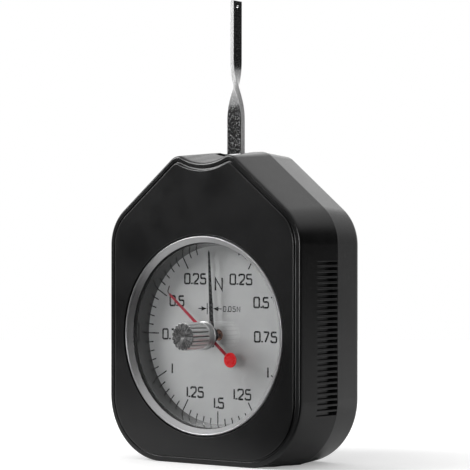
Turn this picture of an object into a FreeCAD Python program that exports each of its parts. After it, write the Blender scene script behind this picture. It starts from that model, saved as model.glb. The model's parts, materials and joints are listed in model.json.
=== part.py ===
"""Dial tension gauge: a spring-loaded lever turns a centre-zero needle through a toothed sector.

Frame: +Z up along the contact arm, -Y towards the reader of the dial, origin at the centre of the flat
base. All sizes are millimetres and angles degrees, and the driving ones are cells of the sheet "Sizes".
"""

import FreeCAD, Part
import math
import os
import re

import Sketcher

V = FreeCAD.Vector

SIZES = [
    # case
    ("case_width", 60.0),
    ("case_over_pivot", 12.81),
    ("top_flat", 18.4),
    ("shoulder_slope", 39.1),
    ("top_corner", 4.0),
    ("shoulder_corner", 11.4),
    ("foot_corner", 16.5),
    ("front_edge", -12.2),
    ("parting", 1.95),
    ("back_face", 13.2),
    ("draft", 4.6),
    ("wall", 2.4),
    ("edge_round", 0.5),
    ("back_round", 2.0),
    ("plateau_inset", 1.75),
    ("plateau_rise", 0.4),
    ("groove_width", 0.5),
    ("groove_depth", 0.35),
    ("parting_step", 0.12),
    # case screws
    ("foot_screw_inset", 7.5),
    ("foot_screw_height", 9.5),
    ("shoulder_screw_inset", 11.0),
    ("shoulder_screw_drop", 14.85),
    ("case_screw_radius", 1.1),
    ("case_screw_head", 2.3),
    ("case_screw_height", 1.2),
    ("case_screw_sunk", 1.6),
    ("case_screw_post", 2.9),
    ("case_screw_grip", 6.0),
    ("screw_clearance", 0.2),
    # finger scoop and lever slot
    ("scoop_radius", 15.4),
    ("scoop_depth", 1.95),
    ("scoop_slope", 9.2),
    ("slot_half_width", 5.1),
    ("slot_front", -0.6),
    ("slot_back", 3.6),
    # grip serrations
    ("grip_count", 28.0),
    ("grip_pitch", 1.36),
    ("grip_groove", 0.88),
    ("grip_bottom", 13.0),
    ("grip_front", -5.8),
    ("grip_depth", 0.6),
    # window
    ("dial_height", 32.0),
    ("bezel_radius", 24.93),
    ("bezel_bore", 23.2),
    ("bezel_front", -12.55),
    ("bezel_gap", 0.27),
    ("bezel_seat", -9.5),
    ("bezel_chamfer", 0.2),
    ("bezel_lip", 0.45),
    ("bezel_skirt", 0.7),
    ("window_boss", 26.8),
    ("well_radius", 23.0),
    ("crystal_radius", 24.0),
    ("crystal_front", -11.2),
    ("crystal_thickness", 1.2),
    ("dial_radius", 24.3),
    ("dial_face", -5.35),
    ("dial_thickness", 0.5),
    # knob and peak pointer
    ("knob_radius", 3.45),
    ("knob_face", -20.0),
    ("knob_flute_end", -13.5),
    ("knob_flutes", 18.0),
    ("flute_radius", 0.36),
    ("collar_radius", 3.4),
    ("bush_flange_radius", 3.6),
    ("bush_flange_thickness", 0.4),
    ("bush_radius", 1.6),
    ("stem_radius", 0.75),
    ("running_gap", 0.05),
    ("peak_plane", -9.5),
    ("peak_thickness", 0.2),
    ("peak_angle", -50.6),
    ("peak_reach", 16.0),
    ("peak_tail", 9.3),
    ("weight_radius", 1.88),
    ("weight_thickness", 0.35),
    # force needle and its arbor
    ("needle_plane", -7.9),
    ("needle_thickness", 0.25),
    ("needle_reach", 21.2),
    ("needle_tail", 3.0),
    ("needle_angle", -2.9),
    ("arbor_radius", 0.6),
    ("pivot_radius", 0.45),
    # gear train
    ("gear_module", 0.36),
    ("pinion_leaves", 10.0),
    ("sector_teeth", 168.0),
    ("sector_side_teeth", 6.0),
    ("sector_front", -0.9),
    ("sector_thickness", 1.0),
    # movement plates
    ("plate_thickness", 1.5),
    ("plate_radius", 26.4),
    ("plate_gap", 8.2),
    ("movement_screw_circle", 25.6),
    ("pillar_spread", 9.0),
    ("pillar_drop", 4.04),
    ("pillar_foot", 12.0),
    ("spring_start", 2.55),
    ("spring_growth", 1.5),
    ("spring_strip", 0.35),
    ("hair_start", 1.2),
    ("hair_growth", 1.1),
    ("hair_strip", 0.12),
    ("bush_outer", 1.6),
    ("shaft_radius", 1.5),
    ("shaft_pivot", 0.8),
    # contact arm
    ("arm_plane", 1.5),
    ("arm_width", 4.55),
    ("arm_thickness", 1.5),
    ("blade_width", 3.45),
    ("blade_thickness", 1.1),
    ("twist_start", 86.2),
    ("twist_end", 101.4),
    ("arm_top", 116.4),
    ("arm_foot", 2.4),
    ("tip_margin", 1.5),
    ("tip_hole_radius", 0.5),
    ("clamp_thickness", 1.9),
    ("clamp_screw_radius", 0.7),
    ("clamp_screw_head", 1.15),
    ("clamp_screw_low", 4.6),
    ("clamp_screw_high", 7.4),
]
NAMES = {name for name, _ in SIZES}


def sized(expression):
    """Points the words of an expression that name a cell at the sheet."""
    return re.sub(r"[a-z_]+", lambda w: "Sizes." + w[0] if w[0] in NAMES else w[0], str(expression))


def value(expression):
    """The number that an expression stands for now."""
    answer = SHEET.evalExpression(sized(expression))
    return float(getattr(answer, "Value", answer))


def make_sheet(doc):
    sheet = doc.addObject("Spreadsheet::Sheet", "Sizes")
    for row, (name, number) in enumerate(SIZES, start=1):
        sheet.set(f"A{row}", name)
        sheet.set(f"B{row}", str(number))
        sheet.setAlias(f"B{row}", name)
    doc.recompute()
    return sheet


def bind(thing, **expressions):
    """Binds properties to expressions; a double underscore stands for a dot."""
    for name, expression in expressions.items():
        thing.setExpression(name.replace("__", "."), sized(expression))


# ---------------------------------------------------------------- bodies and sketches


def new_body(label, up="0", across="0", turn="0"):
    """A body whose own origin sits at (across, 0, up), turned about its Y axis."""
    body = DOC.addObject("PartDesign::Body", label)
    body.Label = label
    body.AllowCompound = True
    body.Placement = FreeCAD.Placement(V(), FreeCAD.Rotation(V(0, 1, 0), value(turn)))
    bind(body, Placement__Base__x=across, Placement__Base__z=up)
    if turn != "0":
        bind(body, Placement__Rotation__Angle=turn)
    BODIES.append(body)
    return body


def origin_part(body, role):
    return next(part for part in body.Origin.OriginFeatures if part.Role == role)


def new_sketch(body, plane, offset="0"):
    """A sketch on one of the body's origin planes, moved along Y (XZ plane), X (YZ) or Z (XY)."""
    sketch = body.newObject("Sketcher::SketchObject", "Sketch")
    sketch.AttachmentSupport = [(origin_part(body, plane), "")]
    sketch.MapMode = "FlatFace"
    sign = "-" if plane == "XZ_Plane" else ""
    bind(sketch, AttachmentOffset__Base__z=f"{sign}({offset})")
    return sketch


def apply(sketch, rules):
    """Adds all the constraints of an outline at once, then binds those that carry an expression."""
    first = sketch.ConstraintCount
    sketch.addConstraint([rule for rule, _ in rules])
    for number, (_, expression) in enumerate(rules, start=first):
        if expression is not None:
            sketch.setExpression(f"Constraints[{number}]", sized(expression))


def at_point(geometry, end, x, y):
    """Rules that hold a point at two expressions."""
    return [
        (Sketcher.Constraint("DistanceX", geometry, end, value(x)), x),
        (Sketcher.Constraint("DistanceY", geometry, end, value(y)), y),
    ]


def of_radius(geometry, radius):
    return [(Sketcher.Constraint("Radius", geometry, value(radius)), radius)]


def draw_circle(sketch, x, y, radius):
    centre = V(value(x), value(y), 0)
    circle = sketch.addGeometry(Part.Circle(centre, V(0, 0, 1), value(radius)))
    apply(sketch, at_point(circle, 3, x, y) + of_radius(circle, radius))


def draw_polygon(sketch, points):
    """A closed outline of straight lines through points given as pairs of expressions."""
    spots = [V(value(x), value(y), 0) for x, y in points]
    ends = spots[1:] + spots[:1]
    lines = [sketch.addGeometry(Part.LineSegment(a, b)) for a, b in zip(spots, ends)]
    rules = []
    for line, before, (x, y) in zip(lines, lines[-1:] + lines[:-1], points):
        rules.append((Sketcher.Constraint("Coincident", before, 2, line, 1), None))
        rules += at_point(line, 1, x, y)
    apply(sketch, rules)


def draw_rounded(sketch, corners):
    """A closed outline whose corners (x, y, radius) are arcs tangent to the lines beside them."""
    spots = [V(value(x), value(y), 0) for x, y, _ in corners]
    rules, leaving, arriving, arcs = [], [], [], []
    for i, spot in enumerate(spots):
        back = (spots[i - 1] - spot).normalize()
        ahead = (spots[(i + 1) % len(spots)] - spot).normalize()
        half = back.getAngle(ahead) / 2
        radius = value(corners[i][2])
        arriving.append(spot + back * (radius / math.tan(half)))
        leaving.append(spot + ahead * (radius / math.tan(half)))
        centre = spot + (back + ahead).normalize() * (radius / math.sin(half))
        left_turn = ahead.cross(back).z > 0
        first, last = (arriving[i], leaving[i]) if left_turn else (leaving[i], arriving[i])
        span = [math.atan2(end.y - centre.y, end.x - centre.x) for end in (first, last)]
        circle = Part.Circle(centre, V(0, 0, 1), radius)
        arcs.append(sketch.addGeometry(Part.ArcOfCircle(circle, *span)))
        rules += of_radius(arcs[i], corners[i][2])
    lines = [
        sketch.addGeometry(Part.LineSegment(leaving[i - 1], arriving[i])) for i in range(len(spots))
    ]
    for i, (x, y, _) in enumerate(corners):
        guide = sketch.addGeometry(Part.Point(spots[i]), True)
        rules += at_point(guide, 1, x, y)
        following = lines[(i + 1) % len(lines)]
        back = spots[i - 1] - spots[i]
        ahead = spots[(i + 1) % len(spots)] - spots[i]
        first, last = (1, 2) if ahead.cross(back).z > 0 else (2, 1)
        rules.append((Sketcher.Constraint("Tangent", lines[i], 2, arcs[i], first), None))
        rules.append((Sketcher.Constraint("Tangent", arcs[i], last, following, 1), None))
        rules.append((Sketcher.Constraint("PointOnObject", guide, 1, lines[i]), None))
        rules.append((Sketcher.Constraint("PointOnObject", guide, 1, following), None))
    apply(sketch, rules)


def pad(body, sketch, length, backwards=False, taper=None):
    """Adds material along the sketch's normal: towards -Y from an XZ sketch, +Y if backwards."""
    feature = body.newObject("PartDesign::Pad", "Pad")
    feature.Profile = sketch
    feature.Reversed = backwards
    bind(feature, Length=length)
    if taper:
        bind(feature, TaperAngle=taper)
    body.Tip = feature
    return feature


def pocket(body, sketch, length, forwards=False):
    """Removes material along +Y from an XZ sketch, or towards -Y if forwards, and checks that it cut."""
    before = body.Tip
    feature = body.newObject("PartDesign::Pocket", "Pocket")
    feature.Profile = sketch
    feature.Reversed = forwards
    bind(feature, Length=length)
    body.Tip = feature
    DOC.recompute()
    if feature.Shape.Volume >= before.Shape.Volume - 1e-9:
        raise RuntimeError(f"a pocket of {body.Label} cuts nothing")
    return feature


def turned(label, profile, **place):
    """A body of revolution about the Y axis: profile is a closed list of (radius, y)."""
    body = new_body(label, **place)
    sketch = new_sketch(body, "XY_Plane")
    draw_polygon(sketch, profile)
    feature = body.newObject("PartDesign::Revolution", "Revolution")
    feature.Profile = sketch
    feature.ReferenceAxis = (sketch, ["V_Axis"])
    feature.Angle = 360
    body.Tip = feature
    return body


def repeat_round(body, feature, count, angle="360"):
    """Repeats a feature about the body's Y axis, over a full turn or centred on a span."""
    pattern = body.newObject("PartDesign::PolarPattern", "Repeat")
    pattern.Originals = [feature]
    pattern.Axis = (origin_part(body, "Y_Axis"), [""])
    pattern.Mode = "Extent"
    bind(pattern, Angle=angle, Occurrences=count)
    body.Tip = pattern
    return pattern


def edges_where(shape, test):
    """The names of the edges whose middle point passes a test."""
    names = []
    for number, edge in enumerate(shape.Edges, start=1):
        middle = edge.valueAt((edge.FirstParameter + edge.LastParameter) / 2)
        if test(middle):
            names.append(f"Edge{number}")
    return names


def round_edges(body, test, radius):
    """Rounds the edges of the body's last feature whose middle point passes a test."""
    DOC.recompute()
    base = body.Tip
    feature = body.newObject("PartDesign::Fillet", "Fillet")
    feature.Base = (base, edges_where(base.Shape, test))
    bind(feature, Radius=radius)
    body.Tip = feature
    return feature


def drill(body, spots, radius, start, length, forwards=False):
    """Round holes along Y at (x, z) spots, from a start plane."""
    sketch = new_sketch(body, "XZ_Plane", start)
    for x, z in spots:
        draw_circle(sketch, x, z, radius)
    return pocket(body, sketch, length, forwards)


def add_posts(body, spots, radius, start, length, backwards=True):
    """Round posts along Y at (x, z) spots, from a start plane."""
    sketch = new_sketch(body, "XZ_Plane", start)
    for x, z in spots:
        draw_circle(sketch, x, z, radius)
    return pad(body, sketch, length, backwards)


# ---------------------------------------------------------------- shared places

SLOPE = "(shoulder_slope * 1 deg)"
PIVOT = "(dial_height + gear_module * (sector_teeth + pinion_leaves) / 2)"
CASE_TOP = f"({PIVOT} + case_over_pivot)"
CASE_DEPTH = "(parting - front_edge)"
PLATE_FRONT = "(dial_face + dial_thickness)"
PLATE_INNER = f"({PLATE_FRONT} + plate_thickness)"
PLATE_BACK = f"({PLATE_INNER} + plate_gap)"
CRYSTAL_BACK = "(crystal_front + crystal_thickness)"
SECTOR_PITCH = "(gear_module * sector_teeth / 2)"
PINION_PITCH = "(gear_module * pinion_leaves / 2)"
ARM_FRONT = "(arm_plane - arm_thickness / 2)"
ARM_BACK = "(arm_plane + arm_thickness / 2)"
TIP_HOLE = "(arm_top - tip_margin)"
SPRING_TURNS = 3
HAIR_TURNS = 4
TWIST_STEPS = 8


def both_sides(*spots):
    """The (x, z) spots and their mirror images in x = 0."""
    return [spot for x, z in spots for spot in ((x, z), (f"-({x})", z))]


CASE_SCREWS = both_sides(
    ("case_width / 2 - foot_screw_inset", "foot_screw_height"),
    ("case_width / 2 - shoulder_screw_inset", f"{CASE_TOP} - shoulder_screw_drop"),
)
PILLARS = both_sides(
    ("pillar_spread", f"{PIVOT} - pillar_drop"),
    ("pillar_spread", "dial_height - pillar_foot"),
)
MOVEMENT_SCREWS = both_sides(
    (
        "movement_screw_circle * sin(50 deg)",
        "dial_height + movement_screw_circle * cos(50 deg)",
    ),
) + [("0", "dial_height - movement_screw_circle")]
CLAMP_SCREWS = [("0", "clamp_screw_low"), ("0", "clamp_screw_high")]


def case_outline(inset):
    """Corners of the case outline moved inwards by an inset: flat top, shoulders, straight sides."""
    inset = f"({inset})"
    top_x = f"top_flat / 2 - {inset} * tan({SLOPE} / 2)"
    side_x = f"case_width / 2 - {inset}"
    drop = f"(case_width / 2 - top_flat / 2) * tan({SLOPE})"
    shoulder = f"{CASE_TOP} - {drop} - {inset} * tan(45 deg - {SLOPE} / 2)"
    top = f"{CASE_TOP} - {inset}"
    right = [
        (top_x, top, f"top_corner - {inset}"),
        (side_x, shoulder, f"shoulder_corner - {inset}"),
        (side_x, inset, f"foot_corner - {inset}"),
    ]
    left = [(f"-({x})", z, radius) for x, z, radius in reversed(right)]
    return right + left


def flatten_base(body):
    """Cuts the drafted underside off level with the base plane."""
    sketch = new_sketch(body, "XZ_Plane", "back_face + wall")
    half = "case_width"
    draw_polygon(sketch, [(f"-{half}", f"-{half}"), (half, f"-{half}"), (half, "0"), (f"-{half}", "0")])
    pocket(body, sketch, "back_face - front_edge + wall * 2", forwards=True)


def cut_slot(body):
    """The slot in the top wall that the lever swings in."""
    clear = "(wall + back_round)"
    sketch = new_sketch(body, "XY_Plane", f"{CASE_TOP} + {clear}")
    right = [("slot_half_width", "slot_front"), ("slot_half_width", "slot_back")]
    left = [(f"-{x}", y) for x, y in reversed(right)]
    draw_polygon(sketch, right + left)
    pocket(body, sketch, f"{clear} * 2 + wall * 2")


# ---------------------------------------------------------------- case


def front_case():
    body = new_body("front_case")
    outer = new_sketch(body, "XZ_Plane", "front_edge")
    draw_rounded(outer, case_outline("0"))
    pad(body, outer, CASE_DEPTH, backwards=True, taper="draft")
    edge = value("front_edge")
    round_edges(body, lambda p: abs(p.y - edge) < 1e-3, "edge_round")
    flatten_base(body)

    groove = new_sketch(body, "XZ_Plane", "front_edge")
    draw_rounded(groove, case_outline("plateau_inset - groove_width"))
    pocket(body, groove, "groove_depth")
    plateau = new_sketch(body, "XZ_Plane", "front_edge + groove_depth")
    draw_rounded(plateau, case_outline("plateau_inset"))
    pad(body, plateau, "groove_depth + plateau_rise")
    face = value("front_edge - plateau_rise")
    round_edges(body, lambda p: abs(p.y - face) < 1e-3, "plateau_rise * 0.6")

    cavity = new_sketch(body, "XZ_Plane", "parting")
    draw_rounded(cavity, case_outline("wall"))
    pocket(body, cavity, f"{CASE_DEPTH} - wall + plateau_rise", forwards=True)

    boss = new_sketch(body, "XZ_Plane", PLATE_FRONT)
    draw_circle(boss, "0", "dial_height", "window_boss")
    pad(body, boss, f"{PLATE_FRONT} - front_edge - wall / 2")
    centre = [("0", "dial_height")]
    ahead = "(front_edge - wall)"
    drill(body, centre, "bezel_radius + bezel_gap", ahead, f"bezel_seat - {ahead}")
    drill(body, centre, "well_radius", ahead, f"{PLATE_FRONT} - {ahead} + wall")
    drill(body, centre, "dial_radius + running_gap", PLATE_FRONT, "dial_thickness", forwards=True)

    add_posts(body, CASE_SCREWS, "case_screw_post", "parting", f"{CASE_DEPTH} - wall / 2", False)
    drill(body, CASE_SCREWS, "case_screw_radius", "parting", "case_screw_grip + 1", forwards=True)
    drill(body, MOVEMENT_SCREWS, "0.6", PLATE_FRONT, "3", forwards=True)

    scoop = new_sketch(body, "XZ_Plane", "front_edge - plateau_rise")
    scoop.AttachmentOffset = FreeCAD.Placement(V(), FreeCAD.Rotation(V(1, 0, 0), -1))
    bind(
        scoop,
        AttachmentOffset__Base__y=f"{CASE_TOP} - scoop_depth",
        AttachmentOffset__Base__z="-(front_edge - plateau_rise)",
        AttachmentOffset__Rotation__Angle="scoop_slope",
    )
    draw_circle(scoop, "0", "scoop_radius", "scoop_radius")
    pocket(body, scoop, "(slot_front - front_edge + plateau_rise) / cos(scoop_slope * 1 deg)")
    cut_slot(body)
    cut_grips(body)


def cut_grips(body):
    """Rows of grooves in both sides, open at the parting plane."""
    grooves = []
    for side in (1, -1):
        sketch = new_sketch(body, "YZ_Plane", f"{side} * (case_width / 2 - grip_depth)")
        draw_polygon(
            sketch,
            [
                ("grip_front", "grip_bottom"),
                ("parting + wall", "grip_bottom"),
                ("parting + wall", "grip_bottom + grip_groove"),
                ("grip_front", "grip_bottom + grip_groove"),
            ],
        )
        grooves.append(pocket(body, sketch, "grip_depth + wall", forwards=side > 0))
    pattern = body.newObject("PartDesign::LinearPattern", "Grips")
    pattern.Originals = grooves
    pattern.Direction = (origin_part(body, "Z_Axis"), [""])
    pattern.Mode = "Spacing"
    bind(pattern, Offset="grip_pitch", Occurrences="grip_count")
    body.Tip = pattern


def rear_cover():
    body = new_body("rear_cover")
    growth = f"{CASE_DEPTH} * tan(draft * 1 deg)"
    outer = new_sketch(body, "XZ_Plane", "parting")
    draw_rounded(outer, case_outline(f"parting_step - {growth}"))
    pad(body, outer, "back_face - parting", backwards=True, taper="-draft")
    back = value("back_face")
    round_edges(body, lambda p: abs(p.y - back) < 1e-3, "back_round")
    flatten_base(body)
    cavity = new_sketch(body, "XZ_Plane", "parting")
    draw_rounded(cavity, case_outline("wall"))
    pocket(body, cavity, "back_face - parting - wall")
    head = "case_screw_head + screw_clearance"
    add_posts(body, CASE_SCREWS, f"{head} + 0.7", "parting", "back_face - parting - wall / 2")
    drill(body, CASE_SCREWS, "case_screw_radius + screw_clearance", "parting - wall", "back_face")
    drill(body, CASE_SCREWS, head, "back_face - case_screw_sunk", "wall + case_screw_sunk")
    cut_slot(body)


# ---------------------------------------------------------------- window


def bezel_ring():
    """A ring that slopes in from its front lip to the crystal, with a skirt that stands in the case."""
    skirt = "bezel_seat - bezel_skirt"
    turned(
        "bezel_ring",
        [
            ("bezel_bore", "crystal_front - bezel_chamfer"),
            ("bezel_radius - bezel_lip", "bezel_front"),
            ("bezel_radius - bezel_chamfer * 1.5", "bezel_front"),
            ("bezel_radius", "bezel_front + bezel_chamfer * 1.5"),
            ("bezel_radius", skirt),
            ("bezel_radius + bezel_gap", skirt),
            ("bezel_radius + bezel_gap", "bezel_seat"),
            ("crystal_radius + running_gap", "bezel_seat"),
            ("crystal_radius + running_gap", "crystal_front"),
            ("bezel_bore", "crystal_front"),
        ],
        up="dial_height",
    )


def crystal():
    turned(
        "crystal",
        [
            ("bush_radius", "crystal_front"),
            ("crystal_radius", "crystal_front"),
            ("crystal_radius", CRYSTAL_BACK),
            ("bush_radius", CRYSTAL_BACK),
        ],
        up="dial_height",
    )


def crystal_seal():
    turned(
        "crystal_seal",
        [
            ("well_radius + 0.1", CRYSTAL_BACK),
            ("crystal_radius", CRYSTAL_BACK),
            ("crystal_radius", "bezel_seat"),
            ("well_radius + 0.1", "bezel_seat"),
        ],
        up="dial_height",
    )


def crystal_bush():
    flange = "crystal_front - bush_flange_thickness"
    turned(
        "crystal_bush",
        [
            ("stem_radius + running_gap", flange),
            ("bush_flange_radius - 0.1", flange),
            ("bush_flange_radius", f"{flange} + 0.1"),
            ("bush_flange_radius", "crystal_front"),
            ("bush_radius", "crystal_front"),
            ("bush_radius", CRYSTAL_BACK),
            ("stem_radius + running_gap", CRYSTAL_BACK),
        ],
        up="dial_height",
    )


def dial_plate():
    body = new_body("dial_plate", up="dial_height")
    disc = new_sketch(body, "XZ_Plane", "dial_face")
    draw_circle(disc, "0", "0", "dial_radius")
    draw_circle(disc, "0", "0", "arbor_radius + 0.9")
    pad(body, disc, "dial_thickness", backwards=True)


# ---------------------------------------------------------------- peak pointer


def reset_knob():
    base = "crystal_front - bush_flange_thickness - running_gap * 2"
    body = turned(
        "reset_knob",
        [
            ("0", "knob_face + 0.35"),
            ("0.7", "knob_face + 0.15"),
            ("1.1", "knob_face"),
            ("knob_radius - 0.2", "knob_face"),
            ("knob_radius", "knob_face + 0.2"),
            ("knob_radius", "knob_flute_end"),
            ("collar_radius - 0.15", "knob_flute_end + 0.15"),
            ("collar_radius", "knob_flute_end + 0.35"),
            ("collar_radius", base),
            ("stem_radius", base),
            ("stem_radius", "knob_face + 3"),
            ("0", "knob_face + 3"),
        ],
        up="dial_height",
        turn="peak_angle",
    )
    flute = new_sketch(body, "XZ_Plane", "knob_face - 1")
    draw_circle(flute, "0", "knob_radius + flute_radius * 0.35", "flute_radius")
    cut = pocket(body, flute, "knob_flute_end - knob_face + 1")
    repeat_round(body, cut, "knob_flutes")


def peak_stem():
    end = "peak_plane + peak_thickness"
    turned(
        "peak_stem",
        [("0", "knob_face + 3"), ("stem_radius", "knob_face + 3"), ("stem_radius", end), ("0", end)],
        up="dial_height",
        turn="peak_angle",
    )


def friction_washer():
    """A toothed spring washer between the crystal bush and the peak pointer."""
    body = new_body("friction_washer", up="dial_height", turn="peak_angle")
    front = f"({CRYSTAL_BACK} + running_gap)"
    thickness = f"peak_plane - {front}"
    disc = new_sketch(body, "XZ_Plane", front)
    draw_circle(disc, "0", "0", "1.9")
    draw_circle(disc, "0", "0", "stem_radius")
    pad(body, disc, thickness, backwards=True)
    tooth = new_sketch(body, "XZ_Plane", front)
    draw_polygon(tooth, [("-0.42", "1.7"), ("-0.24", "2.4"), ("0.24", "2.4"), ("0.42", "1.7")])
    repeat_round(body, pad(body, tooth, thickness, backwards=True), "10")


def peak_needle():
    """The red pointer: a tapered blade, a hub, and a tail that carries the counterweight."""
    body = new_body("peak_needle", up="dial_height", turn="peak_angle")
    hub = new_sketch(body, "XZ_Plane", "peak_plane")
    draw_circle(hub, "0", "0", "1.5")
    draw_circle(hub, "0", "0", "stem_radius")
    pad(body, hub, "peak_thickness", backwards=True)
    blade = new_sketch(body, "XZ_Plane", "peak_plane")
    draw_polygon(
        blade,
        [("-0.42", "1.2"), ("0.42", "1.2"), ("0.26", "peak_reach"), ("-0.26", "peak_reach")],
    )
    pad(body, blade, "peak_thickness", backwards=True)
    tail = new_sketch(body, "XZ_Plane", "peak_plane")
    draw_polygon(
        tail,
        [("-0.4", "-1.2"), ("0.4", "-1.2"), ("0.4", "-peak_tail"), ("-0.4", "-peak_tail")],
    )
    pad(body, tail, "peak_thickness", backwards=True)


def peak_catch():
    """The finger bent back from the pointer's tip, which the force needle pushes."""
    body = new_body("peak_catch", up="dial_height", turn="peak_angle")
    clearance = "0.35"
    foot = new_sketch(body, "XZ_Plane", "peak_plane + peak_thickness")
    draw_polygon(
        foot,
        [
            ("-0.26", "peak_reach - 0.7"),
            ("0.26", "peak_reach - 0.7"),
            ("0.26", "peak_reach"),
            ("-0.26", "peak_reach"),
        ],
    )
    reach = f"needle_plane - {clearance} - peak_plane - peak_thickness"
    pad(body, foot, reach, backwards=True)
    tip = new_sketch(body, "XZ_Plane", f"needle_plane - {clearance} - 0.25")
    draw_polygon(
        tip,
        [
            ("-0.2", "peak_reach - 0.3"),
            ("0.2", "peak_reach - 0.3"),
            ("1.0", "peak_reach + 1.5"),
            ("0.7", "peak_reach + 1.6"),
        ],
    )
    pad(body, tip, "0.25", backwards=True)


def peak_weight():
    turned(
        "peak_weight",
        [
            ("0", "peak_plane - weight_thickness"),
            ("weight_radius - 0.15", "peak_plane - weight_thickness"),
            ("weight_radius", "peak_plane - weight_thickness + 0.15"),
            ("weight_radius", "peak_plane"),
            ("0", "peak_plane"),
        ],
        up="dial_height - peak_tail * cos(peak_angle * 1 deg)",
        across="-peak_tail * sin(peak_angle * 1 deg)",
        turn="peak_angle",
    )


# ---------------------------------------------------------------- force needle


def force_needle():
    body = new_body("force_needle", up="dial_height", turn="needle_angle")
    hub = new_sketch(body, "XZ_Plane", "needle_plane")
    draw_circle(hub, "0", "0", "1.9")
    draw_circle(hub, "0", "0", "1.0")
    pad(body, hub, "needle_thickness", backwards=True)
    blade = new_sketch(body, "XZ_Plane", "needle_plane")
    draw_polygon(
        blade,
        [
            ("-0.62", "1.7"),
            ("0.62", "1.7"),
            ("0.2", "needle_reach - 0.5"),
            ("0", "needle_reach"),
            ("-0.2", "needle_reach - 0.5"),
        ],
    )
    pad(body, blade, "needle_thickness", backwards=True)
    tail = new_sketch(body, "XZ_Plane", "needle_plane")
    corners = [("-0.5", "-1.7"), ("0.5", "-1.7"), ("0.35", "-needle_tail"), ("-0.35", "-needle_tail")]
    draw_polygon(tail, corners)
    pad(body, tail, "needle_thickness", backwards=True)


def needle_bush():
    flange = "needle_plane + needle_thickness"
    turned(
        "needle_bush",
        [
            ("pivot_radius", "needle_plane - 0.4"),
            ("1.0", "needle_plane - 0.4"),
            ("1.0", flange),
            ("1.5", flange),
            ("1.5", f"{flange} + 0.5"),
            ("1.0", f"{flange} + 0.7"),
            ("1.0", f"{flange} + 1.4"),
            ("pivot_radius", f"{flange} + 1.4"),
        ],
        up="dial_height",
        turn="needle_angle",
    )


def pinion_arbor():
    """The arbor and its leaves, cut from one rod."""
    shoulder_front = f"{PLATE_INNER} + 0.1"
    shoulder_back = f"{PLATE_BACK} - 0.1"
    root = f"({PINION_PITCH} - gear_module * 1.2)"
    middle = "(sector_front + sector_thickness / 2)"
    body = turned(
        "pinion_arbor",
        [
            ("0", "needle_plane - 0.3"),
            ("pivot_radius", "needle_plane - 0.3"),
            ("pivot_radius", shoulder_front),
            ("arbor_radius", shoulder_front),
            ("arbor_radius", f"{middle} - 0.9"),
            (root, f"{middle} - 0.9"),
            (root, f"{middle} + 0.9"),
            ("arbor_radius", f"{middle} + 0.9"),
            ("arbor_radius", shoulder_back),
            ("pivot_radius", shoulder_back),
            ("pivot_radius", f"{PLATE_BACK} + plate_thickness"),
            ("0", f"{PLATE_BACK} + plate_thickness"),
        ],
        up="dial_height",
        turn="180 / pinion_leaves",
    )
    leaf = new_sketch(body, "XZ_Plane", f"{middle} + 0.9")
    draw_polygon(
        leaf,
        [
            ("-0.13", f"{root} - 0.2"),
            ("0.13", f"{root} - 0.2"),
            ("0.2", PINION_PITCH),
            ("0.12", f"{PINION_PITCH} + gear_module * 0.7"),
            ("-0.12", f"{PINION_PITCH} + gear_module * 0.7"),
            ("-0.2", PINION_PITCH),
        ],
    )
    repeat_round(body, pad(body, leaf, "1.8"), "pinion_leaves")


def spiral_spring(label, front, height, start, growth, strip, turns, **place):
    """A flat spiral of half circles about two alternating centres, with the strip's own thickness."""
    body = new_body(label, **place)
    sketch = new_sketch(body, "XZ_Plane", front)
    rules = []
    rails = []
    for side in (-1, 1):
        rail = []
        for k in range(2 * turns):
            upper = k % 2 == 0
            shift = "0" if upper else f"{growth} / 2"
            radius = f"{start} + {k} * {growth} / 2 + {side} * {strip} / 2"
            circle = Part.Circle(V(value(shift), 0, 0), V(0, 0, 1), value(radius))
            span = (0, math.pi) if upper else (math.pi, 2 * math.pi)
            arc = sketch.addGeometry(Part.ArcOfCircle(circle, *span))
            rules += at_point(arc, 3, shift, "0")
            rules.append((Sketcher.Constraint("PointOnObject", arc, 2, -1), None))
            if rail:
                rules.append((Sketcher.Constraint("Coincident", rail[-1], 2, arc, 1), None))
            else:
                rules.append((Sketcher.Constraint("PointOnObject", arc, 1, -1), None))
                rules += of_radius(arc, radius)
            rail.append(arc)
        rails.append(rail)
    for k, end in ((0, 1), (-1, 2)):
        spots = [sketch.Geometry[rail[k]] for rail in rails]
        spots = [arc.StartPoint if end == 1 else arc.EndPoint for arc in spots]
        cap = sketch.addGeometry(Part.LineSegment(*spots))
        rules.append((Sketcher.Constraint("Coincident", cap, 1, rails[0][k], end), None))
        rules.append((Sketcher.Constraint("Coincident", cap, 2, rails[1][k], end), None))
    apply(sketch, rules)
    pad(body, sketch, height, backwards=True)


# ---------------------------------------------------------------- movement frame


def plate_outline(width, foot, top, corner):
    """Corners of an upright strip about x = 0."""
    half = f"({width}) / 2"
    right = [(half, top, corner), (half, foot, corner)]
    return right + [(f"-{half}", z, radius) for _, z, radius in reversed(right)]


def front_plate():
    """A round plate behind the dial with a tongue that carries the lever pivot."""
    body = new_body("front_plate")
    disc = new_sketch(body, "XZ_Plane", PLATE_FRONT)
    draw_circle(disc, "0", "dial_height", "plate_radius")
    pad(body, disc, "plate_thickness", backwards=True)
    tongue = new_sketch(body, "XZ_Plane", PLATE_FRONT)
    draw_rounded(tongue, plate_outline("24", "40", f"{PIVOT} + 6", "3"))
    pad(body, tongue, "plate_thickness", backwards=True)
    spots = [("0", "dial_height"), ("0", PIVOT)]
    drill(body, spots, "bush_outer", PLATE_FRONT, "plate_thickness")
    drill(body, MOVEMENT_SCREWS, "0.65", PLATE_FRONT, "plate_thickness")
    drill(body, PILLARS, "0.8", PLATE_FRONT, "plate_thickness")
    drill(body, [("12", "dial_height"), ("-12", "dial_height")], "5", PLATE_FRONT, "plate_thickness")


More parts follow.
